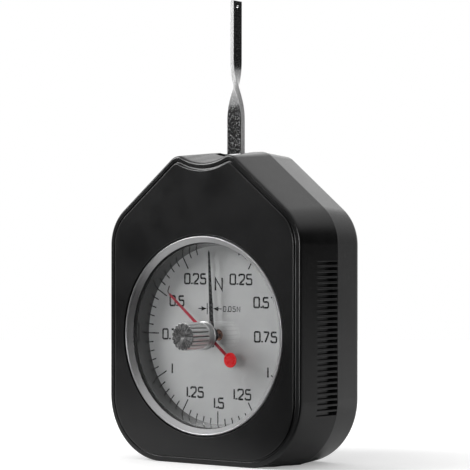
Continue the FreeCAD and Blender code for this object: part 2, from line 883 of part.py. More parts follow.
def back_plate():
    """A narrow strip with rounded windows between the two arbors."""
    body = new_body("back_plate")
    strip = new_sketch(body, "XZ_Plane", PLATE_BACK)
    draw_rounded(strip, plate_outline("22.5", "16", f"{PIVOT} + 6", "3"))
    pad(body, strip, "plate_thickness", backwards=True)
    window = new_sketch(body, "XZ_Plane", PLATE_BACK)
    draw_rounded(window, plate_outline("13", "dial_height + 6", f"{PIVOT} - 9", "2"))
    pocket(body, window, "plate_thickness")
    spots = [("0", "dial_height"), ("0", PIVOT)]
    drill(body, spots, "bush_outer", PLATE_BACK, "plate_thickness")
    drill(body, PILLARS, "0.8", PLATE_BACK, "plate_thickness")


def plate_pillars():
    body = new_body("plate_pillars")
    add_posts(body, PILLARS, "1.5", PLATE_INNER, "plate_gap")
    add_posts(body, PILLARS, "0.8", PLATE_FRONT, "plate_thickness")
    drill(body, PILLARS, "0.6", PLATE_BACK, "3", forwards=True)


def slotted_screws(label, spots, head, head_height, shank, seat, reach, point_up):
    """Cheese-head screws along Y: the head stands on the seat plane, away from where it points."""
    body = new_body(label)
    add_posts(body, spots, head, seat, head_height, backwards=not point_up)
    add_posts(body, spots, shank, seat, reach, backwards=point_up)
    side = f"-({head_height})" if point_up else head_height
    slot = new_sketch(body, "XZ_Plane", f"{seat} + {side}")
    for x, z in spots:
        corners = [(-1, -1), (1, -1), (1, 1), (-1, 1)]
        outline = [(f"{x} + {i} * {head} * 1.1", f"{z} + {k} * {head} * 0.14") for i, k in corners]
        draw_polygon(slot, outline)
    pocket(body, slot, f"{head_height} * 0.45", forwards=not point_up)


def pillar_screws():
    seat = f"({PLATE_BACK} + plate_thickness)"
    slotted_screws("pillar_screws", PILLARS, "1.4", "0.9", "0.6", seat, "plate_thickness + 3", False)


def movement_screws():
    reach = "plate_thickness + 2.8"
    slotted_screws("movement_screws", MOVEMENT_SCREWS, "1.15", "0.8", "0.6", PLATE_INNER, reach, False)


def case_screws():
    seat = "(back_face - case_screw_sunk)"
    reach = f"{seat} - parting + case_screw_grip"
    shank = "case_screw_radius"
    slotted_screws(
        "case_screws", CASE_SCREWS, "case_screw_head", "case_screw_height", shank, seat, reach, False
    )


def add_bush(body, place, bore):
    """A bush through each plate at one arbor."""
    for plate in (PLATE_FRONT, PLATE_BACK):
        sketch = new_sketch(body, "XZ_Plane", plate)
        draw_circle(sketch, "0", place, "bush_outer")
        draw_circle(sketch, "0", place, bore)
        pad(body, sketch, "plate_thickness", backwards=True)


def arbor_bushes():
    add_bush(new_body("arbor_bushes"), "dial_height", "pivot_radius + running_gap")


def pivot_bushes():
    add_bush(new_body("pivot_bushes"), PIVOT, "shaft_pivot + running_gap")


def stop_pins():
    """Two pins between the plates that the sector's edges meet at the ends of its travel."""
    body = new_body("stop_pins")
    angle = "28.8 deg"
    spots = [
        (f"{side} * 20 * sin({angle})", f"{PIVOT} - 20 * cos({angle})") for side in ("1", "-1")
    ]
    add_posts(body, spots, "0.8", PLATE_INNER, "plate_gap")


# ---------------------------------------------------------------- lever


def pivot_shaft():
    inner = f"({PLATE_INNER} + 0.1)"
    outer = f"({PLATE_BACK} - 0.1)"
    turned(
        "pivot_shaft",
        [
            ("0", PLATE_FRONT),
            ("shaft_pivot", PLATE_FRONT),
            ("shaft_pivot", inner),
            ("shaft_radius", inner),
            ("shaft_radius", outer),
            ("shaft_pivot", outer),
            ("shaft_pivot", f"{PLATE_BACK} + plate_thickness"),
            ("0", f"{PLATE_BACK} + plate_thickness"),
        ],
        up=PIVOT,
    )


def sector_gear():
    """The toothed sector: hub, two spokes with an open window between, and a rim with the teeth."""
    body = new_body("sector_gear", up=PIVOT)
    back = "sector_front + sector_thickness"
    root = f"({SECTOR_PITCH} - gear_module * 1.25)"
    half = "13 deg"
    blank = new_sketch(body, "XZ_Plane", back)
    draw_polygon(
        blank,
        [
            ("-2.6", "0"),
            (f"-{root} * sin({half})", f"-{root} * cos({half})"),
            (f"-{root} * sin({half} / 2)", f"-{root} * cos({half} / 2)"),
            ("0", f"-{root}"),
            (f"{root} * sin({half} / 2)", f"-{root} * cos({half} / 2)"),
            (f"{root} * sin({half})", f"-{root} * cos({half})"),
            ("2.6", "0"),
        ],
    )
    pad(body, blank, "sector_thickness")
    hub = new_sketch(body, "XZ_Plane", back)
    draw_circle(hub, "0", "0", "3.2")
    pad(body, hub, "sector_thickness")
    rim = f"({root} - 2.6)"
    window = new_sketch(body, "XZ_Plane", back)
    draw_rounded(
        window,
        [
            ("1.6", "-5.6", "0.6"),
            (f"{rim} * sin(8.5 deg)", f"-{rim} * cos(8.5 deg)", "0.8"),
            (f"-{rim} * sin(8.5 deg)", f"-{rim} * cos(8.5 deg)", "0.8"),
            ("-1.6", "-5.6", "0.6"),
        ],
    )
    pocket(body, window, "sector_thickness", forwards=True)
    drill(body, [("0", "0")], "shaft_radius", back, "sector_thickness", forwards=True)
    add_sector_teeth(body, back, root)


def add_sector_teeth(body, back, root):
    """Straight-flanked teeth on the rim, the middle one pointing at the pinion."""
    step = "(360 deg / sector_teeth)"
    tip = f"({SECTOR_PITCH} + gear_module * 0.75)"
    tooth = new_sketch(body, "XZ_Plane", back)
    draw_polygon(
        tooth,
        [
            ("-gear_module * 0.95", f"-{root} + 0.25"),
            ("gear_module * 0.95", f"-{root} + 0.25"),
            ("gear_module * 0.62", f"-{SECTOR_PITCH}"),
            ("gear_module * 0.36", f"-{tip}"),
            ("-gear_module * 0.36", f"-{tip}"),
            ("-gear_module * 0.62", f"-{SECTOR_PITCH}"),
        ],
    )
    raised = pad(body, tooth, "sector_thickness")
    for clockwise in (True, False):
        pattern = body.newObject("PartDesign::PolarPattern", "Teeth")
        pattern.Originals = [raised]
        pattern.Axis = (origin_part(body, "Y_Axis"), [""])
        pattern.Reversed = clockwise
        pattern.Mode = "Spacing"
        bind(pattern, Offset=step, Occurrences="sector_side_teeth + 1")
        body.Tip = pattern


def arm_clamp():
    """The block on the pivot shaft that the contact arm is screwed to."""
    body = new_body("arm_clamp", up=PIVOT)
    block = new_sketch(body, "XZ_Plane", ARM_BACK)
    top = "clamp_screw_high + clamp_screw_head"
    corners = [("3", top, "1"), ("3", "-3", "1.6"), ("-3", "-3", "1.6"), ("-3", top, "1")]
    draw_rounded(block, corners)
    pad(body, block, "clamp_thickness", backwards=True)
    drill(body, [("0", "0")], "shaft_radius", ARM_BACK, "clamp_thickness")
    drill(body, CLAMP_SCREWS, "clamp_screw_radius", ARM_BACK, "clamp_thickness")


def clamp_screws():
    spots = [(x, f"{PIVOT} + {z}") for x, z in CLAMP_SCREWS]
    reach = "arm_thickness + clamp_thickness"
    shank = "clamp_screw_radius"
    slotted_screws("clamp_screws", spots, "clamp_screw_head", "0.6", shank, ARM_FRONT, reach, True)


def contact_arm():
    """A steel strip, flat to the reader below and turned a quarter to its blade above."""
    body = new_body("contact_arm")
    for low, high, width, thickness in (
        (f"({PIVOT} + arm_foot)", "twist_start", "arm_width", "arm_thickness"),
        ("twist_end", "arm_top", "blade_thickness", "blade_width"),
    ):
        sketch = new_sketch(body, "XY_Plane", low)
        draw_strip(sketch, width, thickness)
        pad(body, sketch, f"{high} - {low}")
    add_twist(body)
    hole = new_sketch(body, "YZ_Plane", "-arm_width")
    draw_circle(hole, "arm_plane", TIP_HOLE, "tip_hole_radius")
    pocket(body, hole, "arm_width * 2", forwards=True)
    spots = [(x, f"{PIVOT} + {z}") for x, z in CLAMP_SCREWS]
    drill(body, spots, "clamp_screw_radius", ARM_FRONT, "arm_thickness")


def draw_strip(sketch, width, depth):
    corners = [(-1, -1), (1, -1), (1, 1), (-1, 1)]
    draw_polygon(sketch, [(f"{i} * {width} / 2", f"arm_plane + {k} * {depth} / 2") for i, k in corners])


def add_twist(body):
    """Lofts the strip through sections that turn by a quarter and narrow to the blade's width."""
    sections = []
    for k in range(TWIST_STEPS + 1):
        share = k / TWIST_STEPS
        eased = share * share * (3 - 2 * share)
        sketch = new_sketch(body, "XY_Plane", f"twist_start + (twist_end - twist_start) * {share}")
        sketch.AttachmentOffset = FreeCAD.Placement(V(), FreeCAD.Rotation(V(0, 0, 1), -90 * eased))
        bind(sketch, AttachmentOffset__Base__y="arm_plane")
        width = f"(arm_width + (blade_width - arm_width) * {eased:.4f})"
        depth = f"(arm_thickness + (blade_thickness - arm_thickness) * {eased:.4f})"
        corners = [(-1, -1), (1, -1), (1, 1), (-1, 1)]
        draw_polygon(sketch, [(f"{i} * {width} / 2", f"{k2} * {depth} / 2") for i, k2 in corners])
        sections.append(sketch)
    loft = body.newObject("PartDesign::AdditiveLoft", "Twist")
    loft.Profile = sections[0]
    loft.Sections = sections[1:]
    loft.Ruled = True
    body.Tip = loft


def spring_end(start, growth, strip, turns):
    """The outer radius at which a spiral spring ends."""
    return f"({start} + {turns} * {growth} + {strip} / 2)"


def measuring_spring():
    spiral_spring(
        "measuring_spring",
        f"({PLATE_INNER} + 0.5)",
        "1.4",
        "spring_start",
        "spring_growth",
        "spring_strip",
        SPRING_TURNS,
        up=PIVOT,
    )


def spring_collet():
    front = f"({PLATE_INNER} + 0.45)"
    back = f"({front} + 1.5)"
    rim = "spring_start - spring_strip / 2"
    turned(
        "spring_collet",
        [("shaft_radius", front), (rim, front), (rim, back), ("shaft_radius", back)],
        up=PIVOT,
    )


def hairspring():
    spiral_spring(
        "hairspring",
        f"({PLATE_BACK} - 2.4)",
        "0.6",
        "hair_start",
        "hair_growth",
        "hair_strip",
        HAIR_TURNS,
        up="dial_height",
    )


def hairspring_collet():
    front = f"({PLATE_BACK} - 2.45)"
    back = f"({front} + 0.7)"
    rim = "hair_start - hair_strip / 2"
    turned(
        "hairspring_collet",
        [("arbor_radius", front), (rim, front), (rim, back), ("arbor_radius", back)],
        up="dial_height",
    )


def spring_studs():
    """Posts that hold the outer ends of the measuring spring and the hairspring."""
    body = new_body("spring_studs")
    measuring_end = spring_end("spring_start", "spring_growth", "spring_strip", SPRING_TURNS)
    add_posts(body, [(f"{measuring_end} + 0.7", PIVOT)], "0.7", PLATE_INNER, "2")
    hair_end = spring_end("hair_start", "hair_growth", "hair_strip", HAIR_TURNS)
    add_posts(body, [(f"{hair_end} + 0.6", "dial_height")], "0.6", PLATE_BACK, "2.5", backwards=False)


# ---------------------------------------------------------------- document


def build_document():
    front_case()
    rear_cover()
    case_screws()
    bezel_ring()
    crystal()
    crystal_seal()
    crystal_bush()
    dial_plate()
    front_plate()
    back_plate()
    plate_pillars()
    pillar_screws()
    movement_screws()
    arbor_bushes()
    pivot_bushes()
    stop_pins()
    spring_studs()
    reset_knob()
    peak_stem()
    friction_washer()
    peak_needle()
    peak_catch()
    peak_weight()
    force_needle()
    needle_bush()
    pinion_arbor()
    hairspring_collet()
    hairspring()
    pivot_shaft()
    sector_gear()
    arm_clamp()
    clamp_screws()
    contact_arm()
    spring_collet()
    measuring_spring()


def check_document():
    DOC.recompute()
    for thing in DOC.Objects:
        if "Invalid" in thing.State or "Error" in thing.State:
            raise RuntimeError(f"{thing.Name} ({thing.Label}) failed: {thing.State}")
    for body in BODIES:
        if body.Shape.isNull() or not body.Shape.isValid():
            raise RuntimeError(f"{body.Label} has no valid shape")


def write_parts():
    os.makedirs("parts", exist_ok=True)
    for body in BODIES:
        body.Shape.exportStep(f"parts/{body.Label}.step")
        print(f"{body.Label}: {len(body.Shape.Solids)} solid(s), {body.Shape.Volume:.2f} mm3")


BODIES = []
DOC = FreeCAD.newDocument("Gauge")
SHEET = make_sheet(DOC)
build_document()
check_document()
write_parts()
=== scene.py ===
# %% [markdown]
# A dial tension gauge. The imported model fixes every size, place and joint; this lesson dresses it.
# Visible pieces are worked out as surfaces on a grid, the hidden movement keeps its own solids, and
# every finish is a small tree of shader nodes. Shapes are drawn in millimetres and become metres
# when they turn into meshes. -Y faces the reader.
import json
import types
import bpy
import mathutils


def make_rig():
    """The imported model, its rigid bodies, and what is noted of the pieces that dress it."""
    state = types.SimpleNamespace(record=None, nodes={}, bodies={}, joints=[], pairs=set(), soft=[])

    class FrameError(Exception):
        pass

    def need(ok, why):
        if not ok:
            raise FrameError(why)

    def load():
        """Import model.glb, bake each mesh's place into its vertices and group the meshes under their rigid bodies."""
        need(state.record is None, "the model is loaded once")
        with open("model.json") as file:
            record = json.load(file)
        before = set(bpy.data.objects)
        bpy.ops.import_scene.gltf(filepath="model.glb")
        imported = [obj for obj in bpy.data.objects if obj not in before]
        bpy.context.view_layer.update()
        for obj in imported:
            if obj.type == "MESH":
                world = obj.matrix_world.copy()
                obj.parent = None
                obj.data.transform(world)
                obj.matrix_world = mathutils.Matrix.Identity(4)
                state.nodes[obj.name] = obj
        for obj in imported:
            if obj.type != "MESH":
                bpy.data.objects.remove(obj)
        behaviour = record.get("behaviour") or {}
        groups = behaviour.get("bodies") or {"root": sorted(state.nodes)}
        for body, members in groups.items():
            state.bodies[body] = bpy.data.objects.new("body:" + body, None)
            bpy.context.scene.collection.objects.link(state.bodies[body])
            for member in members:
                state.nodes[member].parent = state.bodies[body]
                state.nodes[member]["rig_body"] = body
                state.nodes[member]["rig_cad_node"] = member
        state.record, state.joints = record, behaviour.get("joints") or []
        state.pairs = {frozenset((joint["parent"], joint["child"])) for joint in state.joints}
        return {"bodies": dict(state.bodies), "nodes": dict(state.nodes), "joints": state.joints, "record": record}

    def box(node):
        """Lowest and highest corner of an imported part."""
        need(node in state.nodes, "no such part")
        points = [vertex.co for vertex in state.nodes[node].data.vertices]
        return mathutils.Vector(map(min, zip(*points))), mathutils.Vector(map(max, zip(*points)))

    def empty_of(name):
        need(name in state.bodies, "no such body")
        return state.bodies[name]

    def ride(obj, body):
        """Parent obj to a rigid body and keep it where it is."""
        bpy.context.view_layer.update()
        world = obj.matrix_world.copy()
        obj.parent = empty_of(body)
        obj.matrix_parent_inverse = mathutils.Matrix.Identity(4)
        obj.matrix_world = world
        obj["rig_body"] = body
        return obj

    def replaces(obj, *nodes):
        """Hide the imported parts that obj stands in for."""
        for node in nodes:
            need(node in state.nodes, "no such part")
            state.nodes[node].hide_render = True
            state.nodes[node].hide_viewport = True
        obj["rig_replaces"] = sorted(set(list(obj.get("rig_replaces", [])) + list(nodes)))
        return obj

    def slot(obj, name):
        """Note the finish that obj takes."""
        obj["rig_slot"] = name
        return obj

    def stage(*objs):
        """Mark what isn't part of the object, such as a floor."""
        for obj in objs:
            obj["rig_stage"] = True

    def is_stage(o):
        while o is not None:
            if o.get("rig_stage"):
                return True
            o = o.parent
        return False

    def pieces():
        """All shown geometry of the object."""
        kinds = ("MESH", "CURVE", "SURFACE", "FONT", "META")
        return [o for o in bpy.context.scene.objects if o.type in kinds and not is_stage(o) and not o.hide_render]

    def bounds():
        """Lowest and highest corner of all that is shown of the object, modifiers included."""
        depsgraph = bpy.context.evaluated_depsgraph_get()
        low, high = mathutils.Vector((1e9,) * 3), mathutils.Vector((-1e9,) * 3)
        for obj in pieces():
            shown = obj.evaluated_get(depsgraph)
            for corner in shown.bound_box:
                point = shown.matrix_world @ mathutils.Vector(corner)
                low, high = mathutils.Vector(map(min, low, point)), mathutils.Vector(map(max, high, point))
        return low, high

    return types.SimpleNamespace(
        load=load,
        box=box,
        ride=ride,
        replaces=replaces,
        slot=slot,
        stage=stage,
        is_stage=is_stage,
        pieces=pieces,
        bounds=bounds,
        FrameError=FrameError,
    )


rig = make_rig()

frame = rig.load()
cad_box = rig.bounds()

import json

import bmesh
import bpy
import numpy as np
from mathutils import Matrix, Vector

MM = 0.001
nodes = frame["nodes"]
print("bodies:", sorted(frame["bodies"]), "nodes:", len(nodes))

# %% [markdown]
# The camera comes first, because it decides which sides need the most care. It is a long lens, a
# little over half a metre away, level with the middle of the gauge and well to its right.

# %% Place the camera
AZIMUTH, ELEVATION, ROLL = np.radians([37.42, -0.17, 0.067])
DISTANCE = 0.571
TARGET = np.array([0.00086, 0.0, 0.05708])
LENS = 173.2
SENSOR = 36.0


def camera_axes(azimuth, elevation, roll):
    """The camera's right, up and backward directions: a level view turned about Z, raised, rolled."""
    level = np.cos(elevation)
    back = np.array([np.sin(azimuth) * level, -np.cos(azimuth) * level, np.sin(elevation)])
    right = np.array([np.cos(azimuth), np.sin(azimuth), 0.0])
    up = np.cross(back, right)
    return np.cos(roll) * right + np.sin(roll) * up, np.cos(roll) * up - np.sin(roll) * right, back


def add_object(name, data):
    """A new object in the scene."""
    made = bpy.data.objects.new(name, data)
    bpy.context.scene.collection.objects.link(made)
    return made


camera_data = bpy.data.cameras.new("camera")
camera_data.lens = LENS
camera_data.sensor_width = SENSOR
camera_data.clip_start = 0.01
camera = add_object("camera", camera_data)
axes = camera_axes(AZIMUTH, ELEVATION, ROLL)
back_axis = axes[2]
turn = Matrix(np.column_stack(axes).tolist()).to_4x4()
camera.matrix_world = Matrix.Translation(Vector(TARGET + back_axis * DISTANCE)) @ turn
bpy.context.scene.camera = camera
print("camera at", [round(x, 3) for x in camera.location])

# %% [markdown]
# Light and finishes are both trees of nodes. A few short functions let them be written as sums: one
# makes a node and feeds its inputs, and the others are the sums that come up again and again.

# %% Write node trees as sums
def feed_all(tree, target, feeds):
    """Feeds a node's inputs, by name or by number, each with a link or with a plain value."""
    for key, value in feeds.items():
        socket = target.inputs[key]
        if isinstance(value, bpy.types.NodeSocket):
            tree.links.new(value, socket)
        else:
            socket.default_value = (*value, 1.0) if socket.type == "RGBA" else value


def node(tree, kind, feeds=None, **choices):
    """A shader node with its own choices made and its inputs fed."""
    made = tree.nodes.new("ShaderNode" + kind)
    for name, choice in choices.items():
        setattr(made, name, choice)
    feed_all(tree, made, feeds or {})
    return made


def calc(tree, operation, *values):
    """One Math node."""
    return node(tree, "Math", dict(enumerate(values)), operation=operation).outputs[0]


def times(tree, first, second):
    return calc(tree, "MULTIPLY", first, second)


def plus(tree, first, second):
    return calc(tree, "ADD", first, second)


def between(tree, value, low, high, start=0.0, end=1.0, way="SMOOTHSTEP"):
    """A step of a value from start at low to end at high, eased or, as LINEAR, straight."""
    feeds = {"Value": value, "From Min": low, "From Max": high, "To Min": start, "To Max": end}
    return node(tree, "MapRange", feeds, interpolation_type=way).outputs["Result"]


def blend(tree, factor, first, second):
    """The first colour where the factor is 0 and the second where it is 1."""
    return node(tree, "Mix", {0: factor, 6: first, 7: second}, data_type="RGBA").outputs[2]


def split(tree, vector):
    """The X, Y and Z of a vector."""
    return node(tree, "SeparateXYZ", {0: vector}).outputs


def reach(tree, first, second):
    """The root of two squares added: how far a place lies from the axis across both."""
    return calc(tree, "SQRT", plus(tree, times(tree, first, first), times(tree, second, second)))


def along_level(tree, x, y, way):
    """How far a direction or place reaches along a level way: x times way x plus y times way y."""
    return plus(tree, times(tree, x, float(way[0])), times(tree, y, float(way[1])))


print("five sums are ready")

# %% [markdown]
# The studio is a pale dome with two black flags and a few soft lamps. Glossy black and polished
# steel show little but what they reflect. The dome is brightest behind the gauge on its left and
# dim on the camera's right, and the flags stand where the front and the right side look back. They
# keep those faces dark, while edges that turn away catch the bright dome. The camera itself sees
# plain white behind the gauge.

# %% Light the studio
DOME_TOP = 0.84
DOME_RISE = (0.3, 0.9)
DOME_DIM = 0.05
DOME_BRIGHT = 0.88
DOME_TURN = (-0.8, 0.6)
DOME_SIDES = (-0.7, 0.9)
DOME_BELOW = 0.4
DOME_HORIZON = (-0.5, 0.0)
FLAG_LIGHT = 0.085
# a flag's level direction, and how nearly a ray follows it where the flag starts and is full
FRONT_FLAG = ((-0.608, -0.794), 0.84, 0.965)
SIDE_FLAG = ((0.79, 0.61), 0.83, 0.95)
FLAG_HEIGHTS = (0.2, 0.62)
# place, aim, width and watts
LAMPS = {
    "rear_softbox": ((-0.3, 0.78, 0.5), (0, 0, 0.07), 0.42, 0.38),
    "left_key": ((-0.65, -0.62, 0.5), (0, 0, 0.04), 0.45, 7.2),
    "front_fill": ((0.15, -1.0, 0.06), (0, 0, 0.04), 0.4, 4.8),
}


def blend_numbers(tree, factor, first, second):
    """The first number where the factor is 0 and the second where it is 1."""
    return node(tree, "Mix", {0: factor, 2: first, 3: second}).outputs[0]


def flag_mask(tree, x, y, height):
    """1 where a flag hangs: low down, where the level direction lies near the flag's own."""
    level = calc(tree, "MAXIMUM", reach(tree, x, y), 0.001)
    front, side = [
        between(tree, calc(tree, "DIVIDE", along_level(tree, x, y, way), level), far, near)
        for way, far, near in (FRONT_FLAG, SIDE_FLAG)
    ]
    low = between(tree, calc(tree, "ABSOLUTE", height), *FLAG_HEIGHTS, 1.0, 0.0)
    return times(tree, calc(tree, "MAXIMUM", front, side), low)


def build_world():
    """A dome with a bright and a dim side and an even top, with the flags held in front of it."""
    world = bpy.data.worlds.new("studio")
    bpy.context.scene.world = world
    world.use_nodes = True
    tree = world.node_tree
    tree.nodes.clear()
    x, y, height = split(tree, node(tree, "TexCoord").outputs["Generated"])
    side = between(tree, along_level(tree, x, y, DOME_TURN), *DOME_SIDES, DOME_DIM, DOME_BRIGHT)
    level = blend_numbers(tree, between(tree, height, *DOME_HORIZON), DOME_BELOW, side)
    dome = blend_numbers(tree, between(tree, height, *DOME_RISE), level, DOME_TOP)
    light = times(tree, dome, between(tree, flag_mask(tree, x, y, height), 0.0, 1.0, 1.0, FLAG_LIGHT))
    shown = calc(tree, "MAXIMUM", light, node(tree, "LightPath").outputs["Is Camera Ray"])
    background = node(tree, "Background", {"Color": (1.0, 1.0, 1.0), "Strength": shown})
    node(tree, "OutputWorld", {"Surface": background.outputs[0]})


def add_lamp(name, place, aim, width, watts):
    """A soft square lamp at a place, facing a point."""
    data = bpy.data.lights.new(name, "AREA")
    data.size = width
    data.energy = watts
    lamp = add_object(name, data)
    lamp.location = place
    lamp.rotation_euler = (Vector(aim) - Vector(place)).to_track_quat("-Z", "Y").to_euler()


build_world()
for name, values in LAMPS.items():
    add_lamp(name, *values)
bpy.context.scene.view_settings.view_transform = "Standard"
print("lamps:", list(LAMPS))

# %% [markdown]
# The floor is a pale sheet. To the camera it also glows a little, more so away from the gauge, so
# that it meets the white background without a line while the soft shadow still falls on it. In
# front, where only reflections look, its colour darkens into painted shade, like the far end of a studio table.

# %% Lay the floor
FLOOR_REACH = 0.7
FLOOR_CORNERS = 96
GLOW_NEAR = 0.31
GLOW_FAR = 0.48
GLOW_REACH = (0.035, 0.085)
SHEET_WHITE = 0.82
SHEET_PAINTED_SHADE = 0.04
SHEET_FADE = (0.016, 0.045)


def new_material(name):
    """An empty node material and its tree, with a Principled BSDF wired to the output."""
    made = bpy.data.materials.new(name)
    made.use_nodes = True
    tree = made.node_tree
    tree.nodes.clear()
    shader = node(tree, "BsdfPrincipled")
    output = node(tree, "OutputMaterial", {"Surface": shader.outputs[0]})
    return made, tree, shader, output


def floor_material():
    """A matt sheet whose colour fades into painted shade towards the camera for reflections, and glows for the camera
    alone.
    """
    made, tree, shader, _ = new_material("floor_sheet")
    place = node(tree, "TexCoord").outputs["Object"]
    x, y, _ = split(tree, place)
    seen = node(tree, "LightPath").outputs["Is Camera Ray"]
    # painted shade: towards the camera the sheet's colour darkens for reflections, standing in for the dim end of a
    # studio table
    painted_shade_fade = between(tree, along_level(tree, x, y, back_axis), *SHEET_FADE, SHEET_WHITE, SHEET_PAINTED_SHADE)
    away = node(tree, "VectorMath", {0: place}, operation="LENGTH").outputs["Value"]
    spread = between(tree, away, *GLOW_REACH, GLOW_NEAR, GLOW_FAR)
    feed_all(tree, shader, {
        "Base Color": calc(tree, "MAXIMUM", painted_shade_fade, times(tree, seen, SHEET_WHITE)),
        "Roughness": 0.9,
        "Specular IOR Level": 0.0,
        "Emission Color": (1.0, 1.0, 1.0),
        "Emission Strength": times(tree, seen, spread),
    })
    return made


def lay_floor():
    """A round sheet whose rim lies beyond what the camera sees of it."""
    angle = np.linspace(0, 2 * np.pi, FLOOR_CORNERS, endpoint=False)
    level = np.full(FLOOR_CORNERS, cad_box[0][2])
    rim = np.column_stack([FLOOR_REACH * np.cos(angle), FLOOR_REACH * np.sin(angle), level])
    mesh = bpy.data.meshes.new("floor")
    mesh.from_pydata(rim.tolist(), [], [list(range(FLOOR_CORNERS))])
    mesh.materials.append(floor_material())
    floor = add_object("floor", mesh)
    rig.stage(floor)


lay_floor()
print("floor at z =", round(cad_box[0][2], 5))

# %% [markdown]
# Every new surface here is a grid of points: rows along one parameter and columns along another.
# Numpy fills the whole grid at once, and one function joins neighbouring points into quads. Where a
# row or a column closes on itself the grid wraps round, so that the result is a sealed skin. A
# weighted normal modifier then keeps the broad faces flat beside their small rounded edges: without
# it, glass and polished metal would bend what they reflect.

# %% Turn grids of points into pieces
SEAM = 2e-7
SMOOTH_UNDER = np.radians(28)


def skin(grid, wrap_rows=False, wrap_columns=True, caps=False):
    """Points and quads of one grid; a wrapped direction joins its last line to its first, and caps
    close the first and last rows with a flat face each."""
    rows, columns = grid.shape[:2]
    r = np.arange(rows if wrap_rows else rows - 1)[:, None]
    c = np.arange(columns if wrap_columns else columns - 1)[None, :]
    r2 = (r + 1) % rows
    c2 = (c + 1) % columns
    corners = [r * columns + c, r * columns + c2, r2 * columns + c2, r2 * columns + c]
    faces = np.stack(corners, -1).reshape(-1, 4).tolist()
    if caps:
        faces += [list(range(columns)), list(range((rows - 1) * columns, rows * columns))]
    return grid.reshape(-1, 3), faces


def surface(x, y, z):
    """A grid of points from three arrays or numbers, spread to one shape."""
    return np.stack(np.broadcast_arrays(x, y, z), -1)


def mesh_of(name, skins, merge=True):
    """One mesh in metres from closed skins in millimetres, seams merged and faces turned outwards."""
    starts = np.cumsum([0] + [len(spots) for spots, _ in skins])
    faces = [[start + i for i in face] for start, (_, made) in zip(starts, skins) for face in made]
    mesh = bpy.data.meshes.new(name)
    mesh.from_pydata((np.vstack([spots for spots, _ in skins]) * MM).tolist(), [], faces)
    work = bmesh.new()
    work.from_mesh(mesh)
    if merge:
        bmesh.ops.remove_doubles(work, verts=work.verts, dist=SEAM)
        bmesh.ops.dissolve_degenerate(work, edges=work.edges, dist=SEAM)
    bmesh.ops.recalc_face_normals(work, faces=work.faces)
    work.to_mesh(mesh)
    work.free()
    return mesh


def bake(piece):
    """Puts what the modifiers make into the piece's own mesh."""
    bpy.context.view_layer.update()
    shaped = piece.evaluated_get(bpy.context.evaluated_depsgraph_get())
    piece.data = bpy.data.meshes.new_from_object(shaped)
    piece.modifiers.clear()


def shade_evenly(piece):
    """Keeps sharp edges sharp and weighs each normal by face area, so broad flat faces look flat."""
    piece.data.set_sharp_from_angle(angle=SMOOTH_UNDER)
    modifier = piece.modifiers.new("even", "WEIGHTED_NORMAL")
    modifier.mode = "FACE_AREA"
    modifier.weight = 100
    modifier.keep_sharp = True
    bake(piece)


def make_piece(name, skins, body, material, slot, *stands_for):
    """One piece from closed skins, on its body, with its finish and the nodes it stands for."""
    mesh = mesh_of(name, skins)
    mesh.polygons.foreach_set("use_smooth", np.ones(len(mesh.polygons), bool))
    mesh.materials.append(material)
    piece = add_object(name, mesh)
    shade_evenly(piece)
    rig.ride(piece, body)
    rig.slot(piece, slot)
    if stands_for:
        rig.replaces(piece, *stands_for)
    print(name, "faces:", len(piece.data.polygons))
    return piece


def span(node):
    """A node's lowest and highest corner in millimetres."""
    low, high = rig.box(node)
    return np.array(low) / MM, np.array(high) / MM


def joint_place(name):
    """Where a joint's axis passes, in millimetres."""
    return next(np.array(j["pos_m"]) for j in frame["joints"] if j["name"] == name) / MM


DIAL_HEIGHT = joint_place("needle_turn")[2]
PIVOT_HEIGHT = joint_place("lever_swing")[2]
WINDOW = (0.0, DIAL_HEIGHT)
print("dial centre at z =", DIAL_HEIGHT, "pivot at z =", PIVOT_HEIGHT)

# %% [markdown]
# Many pieces are turned on a lathe. The profile is a short list of radius and depth pairs, and the
# grid carries it round the axis. A corner that a tool has broken gets a small round, so that it
# catches a line of light.

# %% Turn a profile round an axis
def rounded(points, radii, steps=5):
    """A line through points with each corner replaced by a curve that leaves and meets it evenly."""
    points = np.array(points, float)
    line = [points[:1]]
    for before, corner, after, radius in zip(points, points[1:], points[2:], radii):
        arms = [(end - corner, np.linalg.norm(end - corner)) for end in (before, after)]
        start, end = [corner + arm / length * min(radius, length * 0.49) for arm, length in arms]
        t = np.linspace(0, 1, steps if radius > 0 else 1)[:, None]
        line.append((1 - t) ** 2 * start + 2 * t * (1 - t) * corner + t**2 * end)
    return np.vstack([*line, points[-1:]])


def round_axis(radius, depth, centre, angle):
    """Points round the Y axis through centre = (x, z): x + radius sin(angle), z + radius cos(angle)."""
    return surface(centre[0] + radius * np.sin(angle), depth, centre[1] + radius * np.cos(angle))


def turned_skin(profile, centre=WINDOW, columns=128, closed=True):
    """Carries a (radius, depth) profile round the axis through centre."""
    radius, depth = np.array(profile, float).T[..., None]
    angle = np.linspace(0, 2 * np.pi, columns, endpoint=False)
    return skin(round_axis(radius, depth, centre, angle), wrap_rows=closed)


def broken(points, radius):
    """A closed profile with every corner rounded by the same small amount."""
    return rounded([points[-1], *points, points[0]], [radius] * len(points), 3)[1:-1]


def washer(hole, radius, front, back):
    """The profile of a flat disc with a hole."""
    return [(hole, front), (radius, front), (radius, back), (hole, back)]


print("a washer's broken profile has", len(broken(washer(1, 2, 0, 1), 0.1)), "points")

# %% [markdown]
# Finishes share a few effects: the fine grain of moulded plastic, the rings that a lathe leaves, the
# lines of brushed metal, dust that has settled and the marks of handling. Each effect is a node
# group with named inputs, built once. It gives out masks and heights only, and the Principled
# shader stays in each material.

# %% Build the shared effects
def noise(tree, vector, scale, detail=2.0, roughness=0.5):
    """Noise on a vector; the scale may be a socket."""
    feeds = {"Vector": vector, "Scale": scale, "Detail": detail, "Roughness": roughness}
    return node(tree, "TexNoise", feeds).outputs["Fac"]


